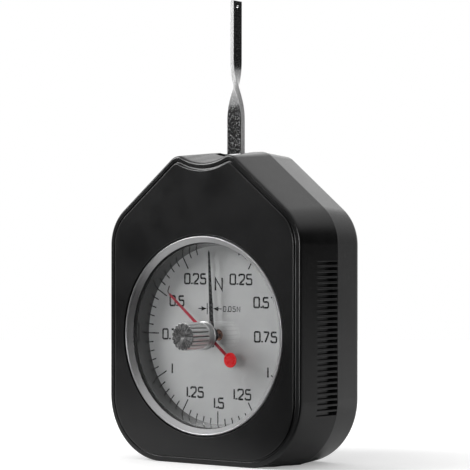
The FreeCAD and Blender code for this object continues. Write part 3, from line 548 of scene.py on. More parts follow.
def shared_effect(recipe, **inputs):
    """A node group that a recipe fills: it gets the tree, a vector and the named inputs, and gives
    back its outputs by name."""
    group = bpy.data.node_groups.new(recipe.__name__, "ShaderNodeTree")
    group.interface.new_socket("Vector", in_out="INPUT", socket_type="NodeSocketVector")
    for label, default in inputs.items():
        label = label.replace("_", " ")
        socket = group.interface.new_socket(label, in_out="INPUT", socket_type="NodeSocketFloat")
        socket.default_value = default
    given = group.nodes.new("NodeGroupInput").outputs
    made = recipe(group, *given[: len(inputs) + 1])
    for label in made:
        group.interface.new_socket(label, in_out="OUTPUT", socket_type="NodeSocketFloat")
    feed_all(group, group.nodes.new("NodeGroupOutput"), made)
    return group


def moulded_grain(tree, vector, grains):
    """Fine pits from a spark-eroded mould, and a slow mottle from the way the plastic cooled."""
    mottle = between(tree, noise(tree, vector, 90.0, 3.0, 0.6), 0.35, 0.68)
    return {"Height": noise(tree, vector, grains, 3.0, 0.65), "Mottle": mottle}


def turned_marks(tree, vector, rings):
    """Rings about the local Y axis: one-dimensional noise on the distance from that axis."""
    x, _, z = split(tree, vector)
    feeds = {"W": reach(tree, x, z), "Scale": rings, "Detail": 4.0}
    height = node(tree, "TexNoise", feeds, noise_dimensions="1D").outputs["Fac"]
    return {"Height": height, "Gloss": between(tree, height, 0.3, 0.7)}


def drawn_marks(tree, vector, lines, stretch):
    """Long fine lines along the local Z axis: noise squeezed across and stretched along."""
    squeeze = node(tree, "CombineXYZ", {0: 1.0, 1: 1.0, 2: stretch}).outputs[0]
    stretched = node(tree, "VectorMath", {0: vector, 1: squeeze}, operation="MULTIPLY").outputs[0]
    height = noise(tree, stretched, lines, 3.0, 0.6)
    return {"Height": height, "Gloss": between(tree, height, 0.35, 0.65)}


def radial_streaks(tree, vector, streaks):
    """Spokes about the local Y axis: noise on the direction from it, broken up by fine noise."""
    level = node(tree, "VectorMath", {0: vector, 1: (1.0, 0.0, 1.0)}, operation="MULTIPLY").outputs[0]
    way = node(tree, "VectorMath", {0: level}, operation="NORMALIZE").outputs[0]
    spokes = times(tree, noise(tree, way, streaks, 3.0, 0.7), 0.6)
    fine = times(tree, noise(tree, vector, 1500.0, 2.0, 0.6), 0.4)
    return {"Mask": between(tree, plus(tree, spokes, fine), 0.42, 0.62)}


def settled_dust(tree, vector, up):
    """Pale dust: patchy noise, kept to faces that look up. Up is the normal's Z."""
    patches = between(tree, noise(tree, vector, 420.0, 5.0, 0.7), 0.45, 0.75)
    specks = between(tree, noise(tree, vector, 2600.0), 0.62, 0.72)
    loose = plus(tree, times(tree, patches, 0.6), times(tree, specks, 0.7))
    return {"Mask": times(tree, loose, between(tree, up, 0.1, 0.9))}


def handling_marks(tree, vector, smears):
    """Finger smears and hairline scratches: broad noise for the smears, thin bands for scratches."""
    smear = between(tree, noise(tree, vector, smears, 4.0, 0.6), 0.4, 0.7)
    away = calc(tree, "ABSOLUTE", calc(tree, "SUBTRACT", noise(tree, vector, 700.0, 1.0), 0.5))
    rare = between(tree, noise(tree, vector, 160.0), 0.55, 0.62)
    return {"Smear": smear, "Scratch": times(tree, between(tree, away, 0.0, 0.006, 1.0, 0.0), rare)}


GRAIN = shared_effect(moulded_grain, Grains_per_metre=5200.0)
RINGS = shared_effect(turned_marks, Rings_per_metre=9000.0)
DRAWN = shared_effect(drawn_marks, Lines_per_metre=7000.0, Stretch=0.02)
STREAKS = shared_effect(radial_streaks, Streaks=7.0)
DUST = shared_effect(settled_dust, Up=0.0)
HANDLING = shared_effect(handling_marks, Smears_per_metre=120.0)
print("effects:", [g.name for g in bpy.data.node_groups])

# %% [markdown]
# Each material is laid out the same way: object coordinates go through a Mapping node that centres
# or turns the pattern, the groups read that, and their masks steer colour, roughness and bump.

# %% Helpers that every finish uses
DIAL_CENTRE = (0.0, 0.0, DIAL_HEIGHT)


def use_group(tree, group, vector, **inputs):
    """Places a shared effect and returns its outputs by name."""
    feeds = {label.replace("_", " "): value for label, value in inputs.items()}
    return node(tree, "Group", {"Vector": vector, **feeds}, node_tree=group).outputs


def mapped(tree, centre=(0, 0, 0), turn=(0, 0, 0)):
    """Object coordinates moved so that centre, in millimetres, is the origin, then turned."""
    place = node(tree, "TexCoord").outputs["Object"]
    feeds = {"Vector": place, "Location": [c * MM for c in centre], "Rotation": turn}
    return node(tree, "Mapping", feeds, vector_type="TEXTURE").outputs[0]


def normal_parts(tree):
    """The X, Y and Z of the surface normal."""
    return split(tree, node(tree, "NewGeometry").outputs["Normal"])


def from_dial_axis(tree):
    """How far a place lies from the axis through the middle of the dial, in metres."""
    x, _, z = split(tree, mapped(tree, DIAL_CENTRE))
    return reach(tree, x, z)


def relief(tree, height, depth, strength):
    """A normal bent by a height map of a real depth, in millimetres."""
    return node(tree, "Bump", {"Height": height, "Distance": depth * MM, "Strength": strength}).outputs[0]


print("finishes are centred on", DIAL_CENTRE)

# %% [markdown]
# The case is a black moulded plastic. It is nearly black by colour, so what the eye reads is its
# broad soft gloss: the grain scatters the studio lights, and the well round the dial is smoother.

# %% Black moulded plastic
WELL_ROOM = 23.6


def case_plastic():
    made, tree, shader, _ = new_material("black_moulded_plastic")
    place = mapped(tree)
    grain = use_group(tree, GRAIN, place, Grains_per_metre=4600.0)
    dust = use_group(tree, DUST, place, Up=normal_parts(tree)["Z"])
    marks = use_group(tree, HANDLING, place, Smears_per_metre=70.0)
    tone = blend(tree, grain["Mottle"], (0.0042, 0.0043, 0.0045), (0.0062, 0.0063, 0.0065))
    uneven = plus(tree, times(tree, grain["Height"], 0.1), times(tree, marks["Smear"], -0.05))
    well = calc(tree, "LESS_THAN", from_dial_axis(tree), WELL_ROOM * MM)
    pits = times(tree, grain["Height"], calc(tree, "SUBTRACT", 1.0, well))
    feed_all(tree, shader, {
        "Base Color": blend(tree, times(tree, dust["Mask"], 0.05), tone, (0.35, 0.34, 0.32)),
        "Roughness": plus(tree, uneven, 0.21),
        "IOR": 1.5,
        "Coat Weight": well,
        "Coat Roughness": 0.04,
        "Coat IOR": 1.9,
        "Normal": relief(tree, pits, 0.012, 0.5),
    })
    return made


PLASTIC = case_plastic()
print("made", PLASTIC.name)

# %% [markdown]
# Metals differ in colour, in how rough they are and in the marks that making them leaves. A table
# of a few values per metal is enough, with the marks picked by how the piece was made. The knob is
# the one that needs more: its valleys are darkened with painted shade, its plain collar is duller,
# and its end face is darkened with painted shade and marked by wear with radial streaks.

# %% Metals
# light tone, deep tone, and the lowest and highest roughness
METALS = {
    "satin_aluminium": ((0.48, 0.48, 0.485), (0.38, 0.38, 0.385), (0.26, 0.38)),
    "plated_knob": ((0.90, 0.90, 0.90), (0.68, 0.68, 0.68), (0.32, 0.44)),
    "brass": ((0.80, 0.62, 0.30), (0.62, 0.45, 0.20), (0.22, 0.42)),
    "bright_steel": ((0.62, 0.62, 0.63), (0.42, 0.42, 0.43), (0.10, 0.24)),
    "spring_steel": ((0.40, 0.44, 0.52), (0.24, 0.27, 0.36), (0.20, 0.36)),
    "dark_screw_steel": ((0.34, 0.34, 0.35), (0.20, 0.20, 0.21), (0.28, 0.45)),
    "oxidised_washer": ((0.20, 0.105, 0.075), (0.07, 0.035, 0.028), (0.35, 0.6)),
}
KNOB_VALLEY = (3.16, 3.34)
COLLAR_START = -13.4
COLLAR_BLEND = 0.4


def metal(name, kind, marks, centre=DIAL_CENTRE, depth=0.002):
    """A metal whose turned or drawn marks steer its tone, gloss and fine relief."""
    light, deep, rough = METALS[kind]
    made, tree, shader, _ = new_material(name)
    place = mapped(tree, centre)
    lines = use_group(tree, marks, place)
    hands = use_group(tree, HANDLING, place, Smears_per_metre=260.0)
    tone = blend(tree, lines["Gloss"], deep, light)
    dull = plus(tree, times(tree, lines["Gloss"], 0.6), times(tree, hands["Smear"], 0.4))
    scratched = calc(tree, "SUBTRACT", lines["Height"], times(tree, hands["Scratch"], 0.5))
    feed_all(tree, shader, {
        "Base Color": blend(tree, times(tree, hands["Smear"], 0.35), tone, deep),
        "Roughness": between(tree, dull, 0.0, 1.0, *rough, "LINEAR"),
        "Metallic": 1.0,
        "Normal": relief(tree, scratched, depth, 0.6),
    })
    return made


def knob_metal():
    """Bright ridges over valleys darkened with painted shade, a duller collar, and an end face darkened with painted
    shade and radial streaks.
    """
    light, deep, rough = METALS["plated_knob"]
    made, tree, shader, _ = new_material("knob_face_and_ridges")
    place = mapped(tree, DIAL_CENTRE)
    lines = use_group(tree, DRAWN, mapped(tree, DIAL_CENTRE, (np.pi / 2, 0, 0)))
    streaks = use_group(tree, STREAKS, place)
    hands = use_group(tree, HANDLING, place, Smears_per_metre=600.0)
    face = between(tree, normal_parts(tree)["Y"], -0.98, -0.85, 1.0, 0.0)
    ridge = between(tree, from_dial_axis(tree), *[radius * MM for radius in KNOB_VALLEY])
    depth = split(tree, place)["Y"]
    collar = between(tree, depth, COLLAR_START * MM, (COLLAR_START + COLLAR_BLEND) * MM)
    # painted shade: the valleys between the flutes take a dark tone for the shade that falls in them
    fluted = blend(tree, ridge, (0.30, 0.30, 0.30), blend(tree, lines["Gloss"], deep, light))
    drum = blend(tree, collar, fluted, (0.46, 0.46, 0.462))
    # painted shade: the forward-looking end face takes a dark tone for the dark front it reflects; the streaks on it
    # are wear
    end = blend(tree, streaks["Mask"], (0.09, 0.09, 0.091), (0.28, 0.28, 0.28))
    feed_all(tree, shader, {
        "Base Color": blend(tree, face, drum, end),
        "Roughness": between(tree, hands["Smear"], 0.0, 1.0, *rough, "LINEAR"),
        "Metallic": 1.0,
        "Normal": relief(tree, times(tree, streaks["Mask"], face), 0.012, 0.4),
    })
    return made


ALUMINIUM = metal("bezel_aluminium", "satin_aluminium", RINGS)
KNOB_METAL = knob_metal()
BUSH_METAL = metal("bush_plating", "satin_aluminium", RINGS)
TURNED_BRASS = metal("movement_brass", "brass", RINGS)
CLAMP_STEEL = metal("clamp_steel", "bright_steel", DRAWN, (0, 0, 0), 0.004)
TURNED_STEEL = metal("turned_steel", "bright_steel", RINGS)
BLUED_STEEL = metal("blued_spring_steel", "spring_steel", DRAWN)
SCREW_STEEL = metal("screw_steel", "dark_screw_steel", RINGS, (22.5, 0, 9.5))
WASHER_METAL = metal("washer_metal", "oxidised_washer", RINGS)
print("metals:", len(METALS))

# %% [markdown]
# Paint is smoother than plastic and lies over metal. A slight orange-peel ripple and dust specks
# keep it from looking like a flat fill. The dial is a silver-grey paint with a faint sparkle. The
# window is real refracting glass, but it lets the lamps' light straight through to the dial.

# %% Paints, print, rubber and glass
def paint(name, colour, deep, rough, peel=1400.0, depth=0.004):
    """A paint film: slow tone shift, ripple in the surface and dust that catches light."""
    made, tree, shader, _ = new_material(name)
    place = mapped(tree, DIAL_CENTRE)
    marks = use_group(tree, HANDLING, place, Smears_per_metre=150.0)
    dust = use_group(tree, DUST, place, Up=1.0)
    ripple = noise(tree, place, peel)
    tone = blend(tree, marks["Smear"], colour, deep)
    feed_all(tree, shader, {
        "Base Color": blend(tree, times(tree, dust["Mask"], 0.04), tone, (0.6, 0.6, 0.6)),
        "Roughness": between(tree, ripple, 0.0, 1.0, rough - 0.08, rough + 0.1, "LINEAR"),
        "Normal": relief(tree, ripple, depth, 0.4),
    })
    return made


def glass():
    """Clear mineral glass, left out of the way of shadow rays and of the dial's own light."""
    made, tree, shader, output = new_material("window_glass")
    feed_all(tree, shader, {
        "Base Color": (0.97, 0.98, 0.975),
        "Transmission Weight": 1.0,
        "IOR": 1.5,
        "Roughness": 0.0,
    })
    path = node(tree, "LightPath").outputs
    through = calc(tree, "MAXIMUM", path["Is Shadow Ray"], path["Is Diffuse Ray"])
    clear = node(tree, "BsdfTransparent").outputs[0]
    mix = node(tree, "MixShader", {0: through, 1: shader.outputs[0], 2: clear})
    feed_all(tree, output, {"Surface": mix.outputs[0]})
    return made


DIAL_PAINT = paint("dial_silver_paint", (0.385, 0.387, 0.39), (0.36, 0.362, 0.366), 0.42, 3200.0, 0.003)
DIAL_INK = paint("dial_black_ink", (0.010, 0.010, 0.011), (0.016, 0.016, 0.017), 0.26)
NEEDLE_PAINT = paint("needle_black_paint", (0.012, 0.012, 0.013), (0.018, 0.018, 0.019), 0.26)
RED_PAINT = paint("pointer_red_paint", (0.33, 0.004, 0.02), (0.22, 0.003, 0.016), 0.3)
WEIGHT_RED = paint("weight_red_paint", (0.86, 0.006, 0.012), (0.74, 0.006, 0.012), 0.28)
CATCH_PAINT = paint("catch_dark_paint", (0.035, 0.016, 0.02), (0.05, 0.02, 0.026), 0.4)
RUBBER = paint("seal_rubber", (0.018, 0.018, 0.018), (0.028, 0.028, 0.027), 0.7)
GLASS = glass()
print("materials:", len(bpy.data.materials))

# %% [markdown]
# The case is one closed outline: a flat top, two sloping shoulders and straight sides, joined by
# arcs. Every wall of it is the same outline moved in or out, so each point keeps a base place and an
# outward direction. An inset moves all points against that direction, and the arcs stay true.

# %% Lay out the outline of the case
CASE_HALF = 30.0
CASE_TOP = 76.85
TOP_HALF = 9.2
SHOULDER_SLOPE = np.radians(39.1)
TOP_ROUND = 4.0
SHOULDER_ROUND = 11.4
FOOT_ROUND = 16.5
FRONT_EDGE = -12.2
PARTING = 1.95
SEAM_BREAK = 0.14
DRAFT = np.tan(np.radians(4.6))
SLOT_HALF = 5.1
GRIP_BOTTOM = 13.0
GRIP_PITCH = 1.36
GRIP_GROOVE = 0.88
GRIP_COUNT = 28
GRIP_FLOOR = 29.4
GRIP_FRONT = -5.8
GRIP_CLEAR = 0.6
RIDGE_EDGE = 0.1
RIDGE_SHARE = 0.6
# how finely each run of the outline is divided
FOOT_STEPS = 46
SHOULDER_STEPS = 18
TOP_STEPS = 12
FLAT_STEPS = 16
SLOT_STEPS = 22


def arc_stations(corner, radius, start, end, count):
    """Points and outward directions round one corner, between two directions from the X axis."""
    first = np.array([np.cos(start), np.sin(start)])
    last = np.array([np.cos(end), np.sin(end)])
    centre = corner - radius * (first + last) / (1 + first @ last)
    angle = np.linspace(start, end, count)
    outward = np.column_stack([np.cos(angle), np.sin(angle)])
    return centre + radius * outward, outward


def grip_levels():
    """Heights of the lines that bound each groove, with whether a line lies on the groove's floor.

    Each groove has a broken edge, a full edge and a floor line on either side."""
    low = GRIP_BOTTOM + GRIP_PITCH * np.arange(GRIP_COUNT)
    high = low + GRIP_GROOVE
    lines = np.column_stack([low - RIDGE_EDGE, low, low, high, high, high + RIDGE_EDGE])
    floors = np.tile([0, 0, 1, 1, 0, 0], GRIP_COUNT)
    shaved = np.tile([0, 1, 0, 0, 1, 0], GRIP_COUNT)
    return lines.ravel(), floors, shaved


def stations(points, outward, kept=np.nan, floor=0, shave=0, slot=0):
    """Columns: x, z, outward x, outward z, kept height (or nan), groove floor, shaved edge, in slot."""
    columns = np.broadcast_arrays(*np.transpose(outward), kept, floor, shave, slot, points[:, 0])
    return np.column_stack([points, *columns[:-1]])


def right_half():
    """Stations from the middle of the base up the right side to the middle of the top."""
    foot, foot_out = arc_stations(np.array([CASE_HALF, 0]), FOOT_ROUND, -np.pi / 2, 0, FOOT_STEPS)
    levels, floors, shaved = grip_levels()
    below = foot[:, 1] < levels[0] - GRIP_CLEAR
    slope = np.pi / 2 - SHOULDER_SLOPE
    corner = np.array([CASE_HALF, CASE_TOP - (CASE_HALF - TOP_HALF) * np.tan(SHOULDER_SLOPE)])
    shoulder, shoulder_out = arc_stations(corner, SHOULDER_ROUND, 0, slope, SHOULDER_STEPS)
    top, top_out = arc_stations(np.array([TOP_HALF, CASE_TOP]), TOP_ROUND, slope, np.pi / 2, TOP_STEPS)
    base_x = np.linspace(0, foot[0, 0], 6)[:-1]
    slope_run = shoulder[-1] + (top[0] - shoulder[-1]) * np.linspace(0, 1, 6)[1:-1, None]
    flat_x = np.linspace(top[-1, 0], SLOT_HALF, FLAT_STEPS)[1:]
    top_x = np.concatenate([flat_x, np.linspace(SLOT_HALF, 0, SLOT_STEPS)])
    in_slot = np.repeat([0, 1], [FLAT_STEPS - 1, SLOT_STEPS])
    return np.vstack(
        [
            stations(np.column_stack([base_x, 0 * base_x]), (0, -1)),
            stations(foot[below], foot_out[below]),
            stations(np.column_stack([0 * levels + CASE_HALF, levels]), (1, 0), levels, floors, shaved),
            stations(shoulder, shoulder_out),
            stations(slope_run, shoulder_out[-1]),
            stations(top, top_out),
            stations(np.column_stack([top_x, 0 * top_x + CASE_TOP]), (0, 1), slot=in_slot),
        ]
    )


def whole_outline():
    """Both halves as one ring: the left half is the right one mirrored and read backwards."""
    right = right_half()
    left = right[::-1].copy()
    left[:, [0, 2]] *= -1
    return np.vstack([right, left])


OUTLINE = whole_outline()
IN_SLOT = OUTLINE[:, 7] > 0
print("outline stations:", len(OUTLINE))

# %% [markdown]
# The top has a finger scoop, a round hollow that rises gently to the slot where the lever comes out.
# It trims each ring of the case: a ring's height is the lower of its own outline and the hollow's
# circle, with the corner between them eased.

# %% Trim a ring of the case
SCOOP_RADIUS = 15.4
SCOOP_BOTTOM = 74.9
SCOOP_RISE = np.tan(np.radians(9.2))
SCOOP_HALF = 12
SCOOP_EASE = 0.25
PLATEAU = -12.6
SLOT_FRONT = -0.6
SLOT_BACK = 3.6


def lower_of(first, second, ease):
    """The smaller of two heights, rounded over a short blend where they cross."""
    gap = np.clip(ease - np.abs(first - second), 0, None) / ease
    return np.minimum(first, second) - gap**2 * ease / 4


def case_ring(inset, depth, grips=False, scooped=True):
    """The outline moved in by an inset at a depth: base point less inset times outward direction.

    On the grip rows the point keeps its height and slides along the foot's arc, and a groove's
    floor is cut back to one plane. The scoop trims the top and the base plane the underside."""
    x, z, out_x, out_z, kept, floor, shave, _ = OUTLINE.T
    side = np.sign(x)
    sink = np.clip(FOOT_ROUND - kept, 0, None)
    arc_x = CASE_HALF - FOOT_ROUND + np.sqrt(np.clip((FOOT_ROUND - inset) ** 2 - sink**2, 0, None))
    held = ~np.isnan(kept)
    ring_x = np.where(held, side * arc_x, x - inset * out_x)
    ring_z = np.where(held, kept, z - inset * out_z)
    if grips:
        ring_x = np.where(floor > 0, side * np.minimum(np.abs(ring_x), GRIP_FLOOR), ring_x)
        ring_x = ring_x - side * shave * RIDGE_EDGE * RIDGE_SHARE
    if scooped:
        radius = SCOOP_RADIUS + max(inset, 0)
        middle = SCOOP_BOTTOM + SCOOP_RADIUS + (depth - PLATEAU) * SCOOP_RISE
        hollow = middle - np.sqrt(np.clip(radius**2 - ring_x**2, 0, None))
        hollow = np.where(np.abs(ring_x) < SCOOP_HALF, hollow, np.inf)
        ring_z = lower_of(ring_z, hollow, SCOOP_EASE)
    return surface(ring_x, depth, np.maximum(ring_z, 0))


def drafted(depth, grips=False):
    """A ring of the front shell's outside: its draft widens it from the front edge back."""
    return case_ring(-(depth - FRONT_EDGE) * DRAFT, depth, grips)


def round_profile(inset, depth, radius, towards, steps=6):
    """(inset, depth) pairs round an outer edge whose flat face lies at depth."""
    angle = np.linspace(0, np.pi / 2, steps)
    pairs = [inset + radius * (1 - np.cos(angle)), depth + towards * radius * (np.sin(angle) - 1)]
    return np.transpose(pairs).tolist()


print("a front ring spans", np.ptp(case_ring(0, FRONT_EDGE), axis=0).round(2))

# %% [markdown]
# The front shell starts at the parting line, runs forward up its drafted side, turns over the front
# edge, dips into the fine groove that frames the face, and crosses the face to the round window.
# There it steps down for the metal ring and narrows towards the dial, and comes back along the
# inside wall, so the whole shell is one sealed skin. Where the lever's slot is, it ends at the
# slot's own edge and not at the parting line.

# %% Mould the front shell
WALL = 2.4
WINDOW_RECESS = 25.2
RING_SEAT = -9.5
WELL_RADIUS = 23.0
WELL_FOOT = 22.4
DIAL_FACE = -5.35
DIAL_BACK = -4.85
DIAL_REBATE = 24.35
BOSS_RADIUS = 26.8
CEILING = -10.2
# the groove's inset from the outline, and its depth behind the front edge
FACE_GROOVE = [
    (0.62, 0), (1.2, 0), (1.25, 0.05), (1.27, 0.32), (1.33, 0.35), (1.67, 0.35), (1.73, 0.32), (1.75, 0.25),
]
# the window's steps as radius and depth
WINDOW_STEPS = [
    (WINDOW_RECESS + 0.3, PLATEAU), (WINDOW_RECESS + 0.12, PLATEAU), (WINDOW_RECESS, PLATEAU + 0.12),
    (WINDOW_RECESS, PLATEAU + 0.4), (WINDOW_RECESS, RING_SEAT), (WELL_RADIUS + 0.08, RING_SEAT),
    (WELL_RADIUS, RING_SEAT + 0.08), (WELL_FOOT, DIAL_FACE), (DIAL_REBATE, DIAL_FACE),
    (DIAL_REBATE, DIAL_BACK), (BOSS_RADIUS, DIAL_BACK), (BOSS_RADIUS, CEILING),
]


def end_at_slot(rows):
    """A shell as one grid, whose ends stop at the slot's own edge where the slot is."""
    for end, edge in ((0, 2), (1, 2), (-1, -2)):
        rows[end][IN_SLOT] = rows[edge][IN_SLOT]
    return np.array(rows)


def front_shell_rows():
    rows = [
        case_ring(SEAM_BREAK - (PARTING - FRONT_EDGE) * DRAFT, PARTING, True),
        case_ring(-(PARTING - FRONT_EDGE) * DRAFT, PARTING - SEAM_BREAK, True),
        drafted(SLOT_FRONT, True),
        drafted(GRIP_FRONT, True),
        drafted(GRIP_FRONT),
        drafted(GRIP_FRONT - 0.3),
        drafted(FRONT_EDGE + 1.2),
    ]
    profile = round_profile(0, FRONT_EDGE, 0.5, -1)
    profile += [(inset, FRONT_EDGE + depth) for inset, depth in FACE_GROOVE]
    profile += round_profile(1.75, PLATEAU, 0.24, -1, 5) + [(2.15, PLATEAU), (2.5, PLATEAU)]
    rows += [case_ring(inset, depth) for inset, depth in profile]
    bearing = np.arctan2(rows[-1][:, 0], rows[-1][:, 2] - DIAL_HEIGHT)
    rows += [round_axis(radius, depth, WINDOW, bearing) for radius, depth in WINDOW_STEPS]
    rows += [case_ring(WALL, depth) for depth in (CEILING, SLOT_FRONT, PARTING)]
    return end_at_slot(rows)


front_skin = skin(front_shell_rows(), wrap_rows=True)
make_piece("front_shell", [front_skin], "case", PLASTIC, "case_plastic", "front_case")

# %% [markdown]
# The rear cover carries the same outline back, a touch smaller so that the parting line shows as a
# fine dark step, and rounds over to a flat back. Four counterbores for the screws are cut with a
# Boolean modifier, because a round hole seldom falls on the lines of a grid.

# %% Mould the rear cover
BACK_FACE = 13.2
BACK_ROUND = 2.0
PARTING_STEP = 0.12
SCREW_PLACES = [(22.5, 9.5), (-22.5, 9.5), (19.0, 62.0), (-19.0, 62.0)]
SCREW_SEAT = BACK_FACE - 1.6
COUNTERBORE = 2.5
SCREW_HOLE = 1.3
SCREW_HOLE_FRONT = 5.0
COVER_MIDDLE = 38.0


def cover_ring(inset, depth, share=1.0):
    """A ring of the cover, drawn in towards its middle to a share of its size."""
    middle = np.array([0.0, depth, COVER_MIDDLE])
    return middle + (case_ring(inset, depth, scooped=False) - middle) * share


def rear_cover_rows():
    start = PARTING_STEP - (PARTING - FRONT_EDGE) * DRAFT
    edge = start + (BACK_FACE - BACK_ROUND - PARTING) * DRAFT
    rows = [
        cover_ring(start + SEAM_BREAK, PARTING),
        cover_ring(start, PARTING + SEAM_BREAK),
        cover_ring(start + (SLOT_BACK - PARTING) * DRAFT, SLOT_BACK),
    ]
    rows += [cover_ring(*pair) for pair in round_profile(edge, BACK_FACE, BACK_ROUND, 1, 10)]
    rows += [cover_ring(edge + BACK_ROUND + 0.2, BACK_FACE, share) for share in (1, 0.6, 0.2, 0)]
    rows += [cover_ring(WALL, BACK_FACE - WALL, share) for share in (0, 0.5, 1)]
    rows += [cover_ring(WALL, depth) for depth in (SLOT_BACK, PARTING)]
    return end_at_slot(rows)


def cut_out(piece, tools):
    """Subtracts closed skins from a piece with a Boolean modifier and keeps the result as its mesh."""
    cutter = add_object("cutter", mesh_of("cutter", tools, merge=False))
    modifier = piece.modifiers.new("cut", "BOOLEAN")
    modifier.operation = "DIFFERENCE"
    modifier.solver = "EXACT"
    modifier.object = cutter
    bake(piece)
    bpy.data.objects.remove(cutter)
    shade_evenly(piece)
    print(piece.name, "after the cut:", len(piece.data.polygons), "faces")


def peg(centre, radius, front, back, columns=48):
    """A closed round peg along Y."""
    return turned_skin([(0, front), (radius, front), (radius, back), (0, back)], centre, columns, False)


rear_skin = skin(rear_cover_rows(), wrap_rows=True)
rear_shell = make_piece("rear_shell", [rear_skin], "case", PLASTIC, "case_plastic", "rear_cover")
bores = [peg(place, COUNTERBORE, SCREW_SEAT, BACK_FACE + 1) for place in SCREW_PLACES]
cut_out(rear_shell, bores + [peg(place, SCREW_HOLE, SCREW_HOLE_FRONT, BACK_FACE) for place in SCREW_PLACES])

# %% [markdown]
# The screws are slotted cheese heads. Head and shank are turned, and the slot is a cut across the
# head, each screw left at its own angle as a fitter would.

# %% Turn the case screws
HEAD_RADIUS = 2.3
HEAD_TOP = SCREW_SEAT + 1.2
SHANK_RADIUS = 1.1
SHANK_END = -4.0
SLOT_DEPTH = 0.55
SLOT_WIDTH = 0.64
SLOT_ANGLES = np.radians([24, 112, 68, 155])


def bar(centre, angle, half_length, half_width, front, back):
    """A rectangular bar, turned about Y, as a closed skin."""
    along = np.array([np.sin(angle), np.cos(angle)])
    across = np.array([np.cos(angle), -np.sin(angle)])
    corners = np.array([[1, 1], [1, -1], [-1, -1], [-1, 1]])
    flat = centre + corners[:, :1] * half_length * along + corners[:, 1:] * half_width * across
    return plate_skin(flat, front, back)


def plate_skin(flat, front, back):
    """A closed plate between two depths from its (x, z) corners."""
    return skin(surface(flat[:, 0], np.array([[front], [back]]), flat[:, 1]), caps=True)


screw_profile = rounded(
    [(0, HEAD_TOP), (HEAD_RADIUS, HEAD_TOP), (HEAD_RADIUS, SCREW_SEAT), (SHANK_RADIUS, SCREW_SEAT),
     (SHANK_RADIUS, SHANK_END), (0, SHANK_END - 0.3)],
    [0.3, 0.05, 0.05, 0.2],
)
screw_skins = [turned_skin(screw_profile, place, 64, False) for place in SCREW_PLACES]
screws = make_piece("case_screw_set", screw_skins, "case", SCREW_STEEL, "case_screw", "case_screws")
slots = [
    bar(place, angle, HEAD_RADIUS * 1.2, SLOT_WIDTH / 2, HEAD_TOP - SLOT_DEPTH, HEAD_TOP + 1)
    for place, angle in zip(SCREW_PLACES, SLOT_ANGLES)
]
cut_out(screws, slots)

# %% [markdown]
# The window is built up in layers: a turned metal ring holds the glass against a rubber seal. The
# ring's face is nearly flat with a broken edge on each side, and its bore shows as a bright band.

# %% Turn the window ring, the glass and its bush
RING_RADIUS = 24.93
RING_BORE = 23.2
RING_LIP = RING_RADIUS + 0.2
RING_FRONT = span("bezel_ring")[0][1]
GLASS_FRONT = span("crystal")[0][1]
GLASS_RADIUS, GLASS_BACK = span("crystal")[1][:2]
BUSH_HOLE = 1.6
FLANGE_RADIUS = 3.6
FLANGE_FRONT = GLASS_FRONT - 0.4
STEM_BORE = 0.8

ring_profile = [
    (RING_BORE, GLASS_FRONT - 0.2), (RING_RADIUS - 0.45, RING_FRONT), (RING_RADIUS - 0.28, RING_FRONT),
    (RING_RADIUS, RING_FRONT + 0.28), (RING_RADIUS, RING_SEAT - 0.7), (RING_LIP, RING_SEAT - 0.7),
    (RING_LIP, RING_SEAT - 0.02), (GLASS_RADIUS + 0.05, RING_SEAT - 0.02),
    (GLASS_RADIUS + 0.05, GLASS_FRONT - 0.02), (RING_BORE, GLASS_FRONT - 0.02),
]
ring_skin = turned_skin(broken(ring_profile, 0.05), columns=192)
make_piece("window_ring", [ring_skin], "case", ALUMINIUM, "bezel", "bezel_ring")

glass_skin = turned_skin(broken(washer(BUSH_HOLE, GLASS_RADIUS, GLASS_FRONT, GLASS_BACK), 0.06), columns=192)
make_piece("window_glass", [glass_skin], "case", GLASS, "crystal", "crystal")

bush_profile = [
    (STEM_BORE, FLANGE_FRONT), (FLANGE_RADIUS, FLANGE_FRONT), (FLANGE_RADIUS, GLASS_FRONT - 0.01),
    (BUSH_HOLE - 0.02, GLASS_FRONT - 0.01), (BUSH_HOLE - 0.02, GLASS_BACK), (STEM_BORE, GLASS_BACK),
]
bush_skin = turned_skin(broken(bush_profile, 0.08), columns=96)
make_piece("window_bush", [bush_skin], "case", BUSH_METAL, "bright_metal", "crystal_bush")

# %% [markdown]
# The reset knob is a small fluted drum. Round its side the radius dips in narrow valleys between
# broad rounded ridges; near its foot the flutes run out into a plain collar, and its end face has a
# centre dimple. One grid of angle against profile holds all of it.

# %% Flute the reset knob
KNOB_RADIUS = 3.45
KNOB_FACE = span("reset_knob")[0][1]
KNOB_FOOT = min(span("reset_knob")[1][1], FLANGE_FRONT - 0.1)
FLUTE_END = COLLAR_START - 0.1
FLUTES = 18
POINTS_PER_FLUTE = 16
FLUTE_DEPTH = 0.34
FLUTE_WIDTH = 0.17
RIDGE_CROWN = 0.05
COLLAR_RADIUS = 3.4
KNOB_BORE = 0.77
STEM_TOP = 3
# radius, depth behind the start of the part, and the share of the flutes' full depth there
END_FACE = [
    (0, 0.1, 0), (0.25, 0.09, 0), (0.5, 0.06, 0), (0.72, 0.015, 0), (0.85, 0, 0), (1.3, 0, 0),
    (2.7, 0, 0), (3.1, 0, 0.45), (KNOB_RADIUS - 0.16, 0, 0.8), (KNOB_RADIUS - 0.07, 0.03, 0.9),
    (KNOB_RADIUS - 0.02, 0.1, 0.97), (KNOB_RADIUS, 0.2, 1), (KNOB_RADIUS, 0.5, 1),
]
RUN_OUT = [
    (KNOB_RADIUS, -0.5, 1), (KNOB_RADIUS, -0.25, 0.9), (KNOB_RADIUS - 0.02, -0.08, 0.5),
    (COLLAR_RADIUS - 0.12, 0.05, 0.1), (COLLAR_RADIUS - 0.14, 0.15, 0),
    (COLLAR_RADIUS, 0.3, 0), (COLLAR_RADIUS, 0.5, 0),
]
FOOT = [(COLLAR_RADIUS, -0.12, 0), (COLLAR_RADIUS - 0.1, 0, 0), (KNOB_BORE, 0, 0)]
STEM = [(KNOB_BORE, STEM_TOP, 0), (0, STEM_TOP, 0)]


